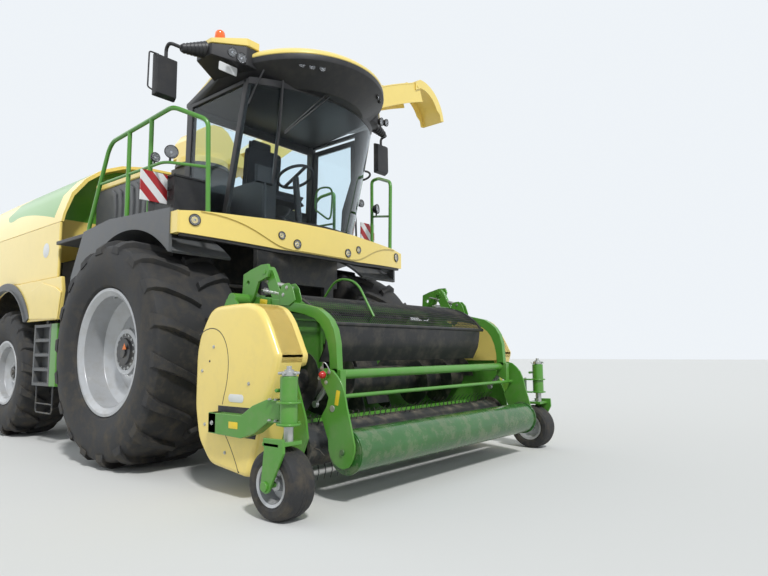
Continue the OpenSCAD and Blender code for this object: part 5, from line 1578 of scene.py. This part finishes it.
# Wipers and handrails
# Pantograph wiper and a side wiper on the screen, black and green grab rails at the
# left door, and the hand's rail inside it.
def tube(name, points, radius, body, material, bent=True):
    """A round bar or hose along points, closed at its ends."""
    curve = bpy.data.curves.new(name, "CURVE")
    curve.dimensions = "3D"
    curve.bevel_depth = radius
    curve.bevel_resolution = 4
    curve.use_fill_caps = True
    line = curve.splines.new("NURBS" if bent else "POLY")
    line.points.add(len(points) - 1)
    for corner, point in zip(line.points, points):
        corner.co = (*point, 1)
    if bent:
        line.order_u = min(4, len(points))
        line.use_endpoint_u = True
        line.resolution_u = 10
    drawn = bpy.data.objects.new(name + "_line", curve)
    scene.collection.objects.link(drawn)
    mesh = bpy.data.meshes.new_from_object(drawn.evaluated_get(bpy.context.evaluated_depsgraph_get()))
    bpy.data.objects.remove(drawn)
    mesh.name = name
    shaded(mesh, 50)
    return finished(name, mesh, body, material)


wiper = ((1.130, -0.627, 3.560), (1.053, -0.587, 3.090), (0.953, -0.595, 2.608))
tube("wiper_pole", [Vector(at) + Vector((0.03, -0.02, 0)) for at in wiper], 0.011, "chassis", black_plastic)
for i, tip in enumerate(((1.27, -0.086, 3.599), (1.254, -0.183, 3.556))):
    tube(f"wiper_arm_{i}", [Vector((1.061, -0.565, 3.081)) + Vector((0.03, 0, 0.02 * i)), Vector(tip)
                            + Vector((0.03, 0, 0))], 0.007, "chassis", black_plastic,
         bent=False)
bm = bmesh.new()
hulled(bm, [Vector((1080, -608, 2660)) + Vector(c)
            for c in ((-120, 0, 0), (-96, -8, 0), (-100, 12, 0), (52, -36, 880), (72, -40, 880),
                      (64, -18, 880))])
built("wiper_blade", bm, "chassis", (), 0, black_plastic)
tube("side_wiper", [(1.085, -0.815, 3.627), (1.010, -0.862, 3.46), (0.955, -0.886, 3.312)], 0.009,
     "chassis", black_plastic)
tube("left_grab_rail", [(0.33, 1.30, 2.25), (0.31, 1.30, 2.45), (0.30, 1.30, 2.9), (0.31, 1.30, 3.14),
                        (0.33, 1.30, 3.30), (0.50, 1.29, 3.28), (0.61, 1.28, 3.20), (0.50, 1.28, 3.15),
                        (0.33, 1.28, 3.17)], 0.013, "chassis", black_plastic)
round_lamp("grab_rail_lamp", (0.40, 1.30, 2.874), (1, 0, 0), 0.05)
tube("door_hand_rail", [(0.09, 0.80, 2.76), (0.10, 0.78, 2.99), (0.24, 0.77, 3.0), (0.38, 0.77, 2.975),
                        (0.42, 0.77, 2.90), (0.40, 0.77, 2.7), (0.38, 0.77, 2.53), (0.24, 0.77, 2.66),
                        (0.10, 0.80, 2.74)], 0.012, "left_door", leaf_green)
number_plate = painted("plate_white", (0.75, 0.76, 0.76), 0.3, 0.15, bump=0.01)
plate("blank_number_plate", rounded_outline(0.2, 0.08, 0.012),
      stood((0.86, -1.055, 3.62), (0, 1, 0), (0.1, 0, 1)), 0.003, "chassis", number_plate)
display_case = painted("display_case", (0.03, 0.03, 0.033), 0.4, 0.1, grain=300, bump=0.03)
bm = bmesh.new()
hulled(bm, [(640 + dx, y, z) for dx, y0, y1, z0,
            z1 in ((0, -560, -330, 2700, 2890), (28, -545, -345, 2712, 2878)) for y in (y0, y1)
            for z in (z0, z1)])
bar(bm, (655, -445, 2260), (655, -445, 2712), 16)
built("display", bm, "chassis", (), 0.006, display_case, segments=3)

# Hoses and small fittings of the header
# Black hoses droop between the intake housing and the header, with a red ball knob on a
# wire bail at the press frame, bare yellow labels, a blank plate, and the side panels' vents.
for i, (y, sag) in enumerate(((0.36, 1.36), (0.42, 1.40), (0.48, 1.33), (0.56, 1.38))):
    tube(f"header_hose_{i}", [(0.95, y, 1.36), (1.04, y + 0.02, sag + 0.12), (1.16, y + 0.05, sag + 0.18),
                              (1.28, y + 0.06, sag + 0.12), (1.36, y + 0.04, sag + 0.02),
                              (1.385, y + 0.02, 1.33)], 0.013, "header", black_plastic)
tube("wire_bail", [(2.39, -1.305, 0.86), (2.40, -1.33, 0.92), (2.42, -1.34, 0.95), (2.45, -1.33, 0.92),
                   (2.45, -1.305, 0.87)], 0.004, "press_frame", zinc_plate)
knob_red = painted("knob_red", (0.55, 0.01, 0.01), 0.2, 0.05, coat=0.4)
turned("red_knob", [(0, -0.026)] + [(0.026 * math.cos(a), 0.026 * math.sin(a))
                                    for a in (math.radians(15 * i) for i in range(-5, 6))] + [(0, 0.026)],
       (2.398, -1.325, 0.852), (0, -1, 0), "press_frame", knob_red, 32, 60)
label = painted("bare_label", (0.85, 0.62, 0.03), 0.35, 0.1, bump=0.01)
for name, where, size, body in (
        ("arm_label", stood((1.62, -1.2092, 1.40), (1, 0, -0.15), (0.15, 0, 1)), (0.09, 0.04),
         "press_frame"),
        ("leaf_label", stood((2.505, -1.2908, 0.70), (0.2, 0, 1), (-1, 0, 0.2)), (0.10, 0.035),
         "press_frame"),
        ("beam_label", stood((1.93, -1.7008, 0.52), (1, 0, 0), (0, 0, 1)), (0.10, 0.045), "header")):
    plate(name, rounded_outline(*size, 0.006), where, 0.0012, body, label, 0.0004)
pill = painted("pill_plate", (0.80, 0.80, 0.78), 0.3, 0.1, bump=0.01)
plate("guard_plate", rounded_outline(0.17, 0.055, 0.026, 6),
      stood((1.848, -1.6205, 0.690), (1, 0, 0), (0, 0, 1)), 0.002, "header", pill, 0.0006)
plate("hood_disc", rounded_outline(0.17, 0.17, 0.083, 8),
      stood((-2.05, -1.4508, 2.20), (1, 0, 0), (0, 0, 1)), 0.0015, "side_panel_r", number_plate,
      0.0005)
# Side vents, just proud of the panels
vent_y = -1451.5
for side in ("r", "l"):
    bm = bmesh.new()
    for i in range(2):
        x, z = -3960 - 40 * i, 2330 - 190 * i
        slab(bm, [(x, z), (x - 220, z + 70), (x - 240, z + 20), (x - 60, z - 50)], vent_y, 5)
    for i in range(6):
        x = -4140 - 70 * i
        slab(bm, [(x, 2090), (x - 25, 2090), (x - 25, 1925), (x, 1925)], vent_y, 5)
    built(f"side_vents_{side}", bm, f"side_panel_{side}", (), 0.001, black_plastic,
          mirror=side == "l")

low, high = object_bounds()
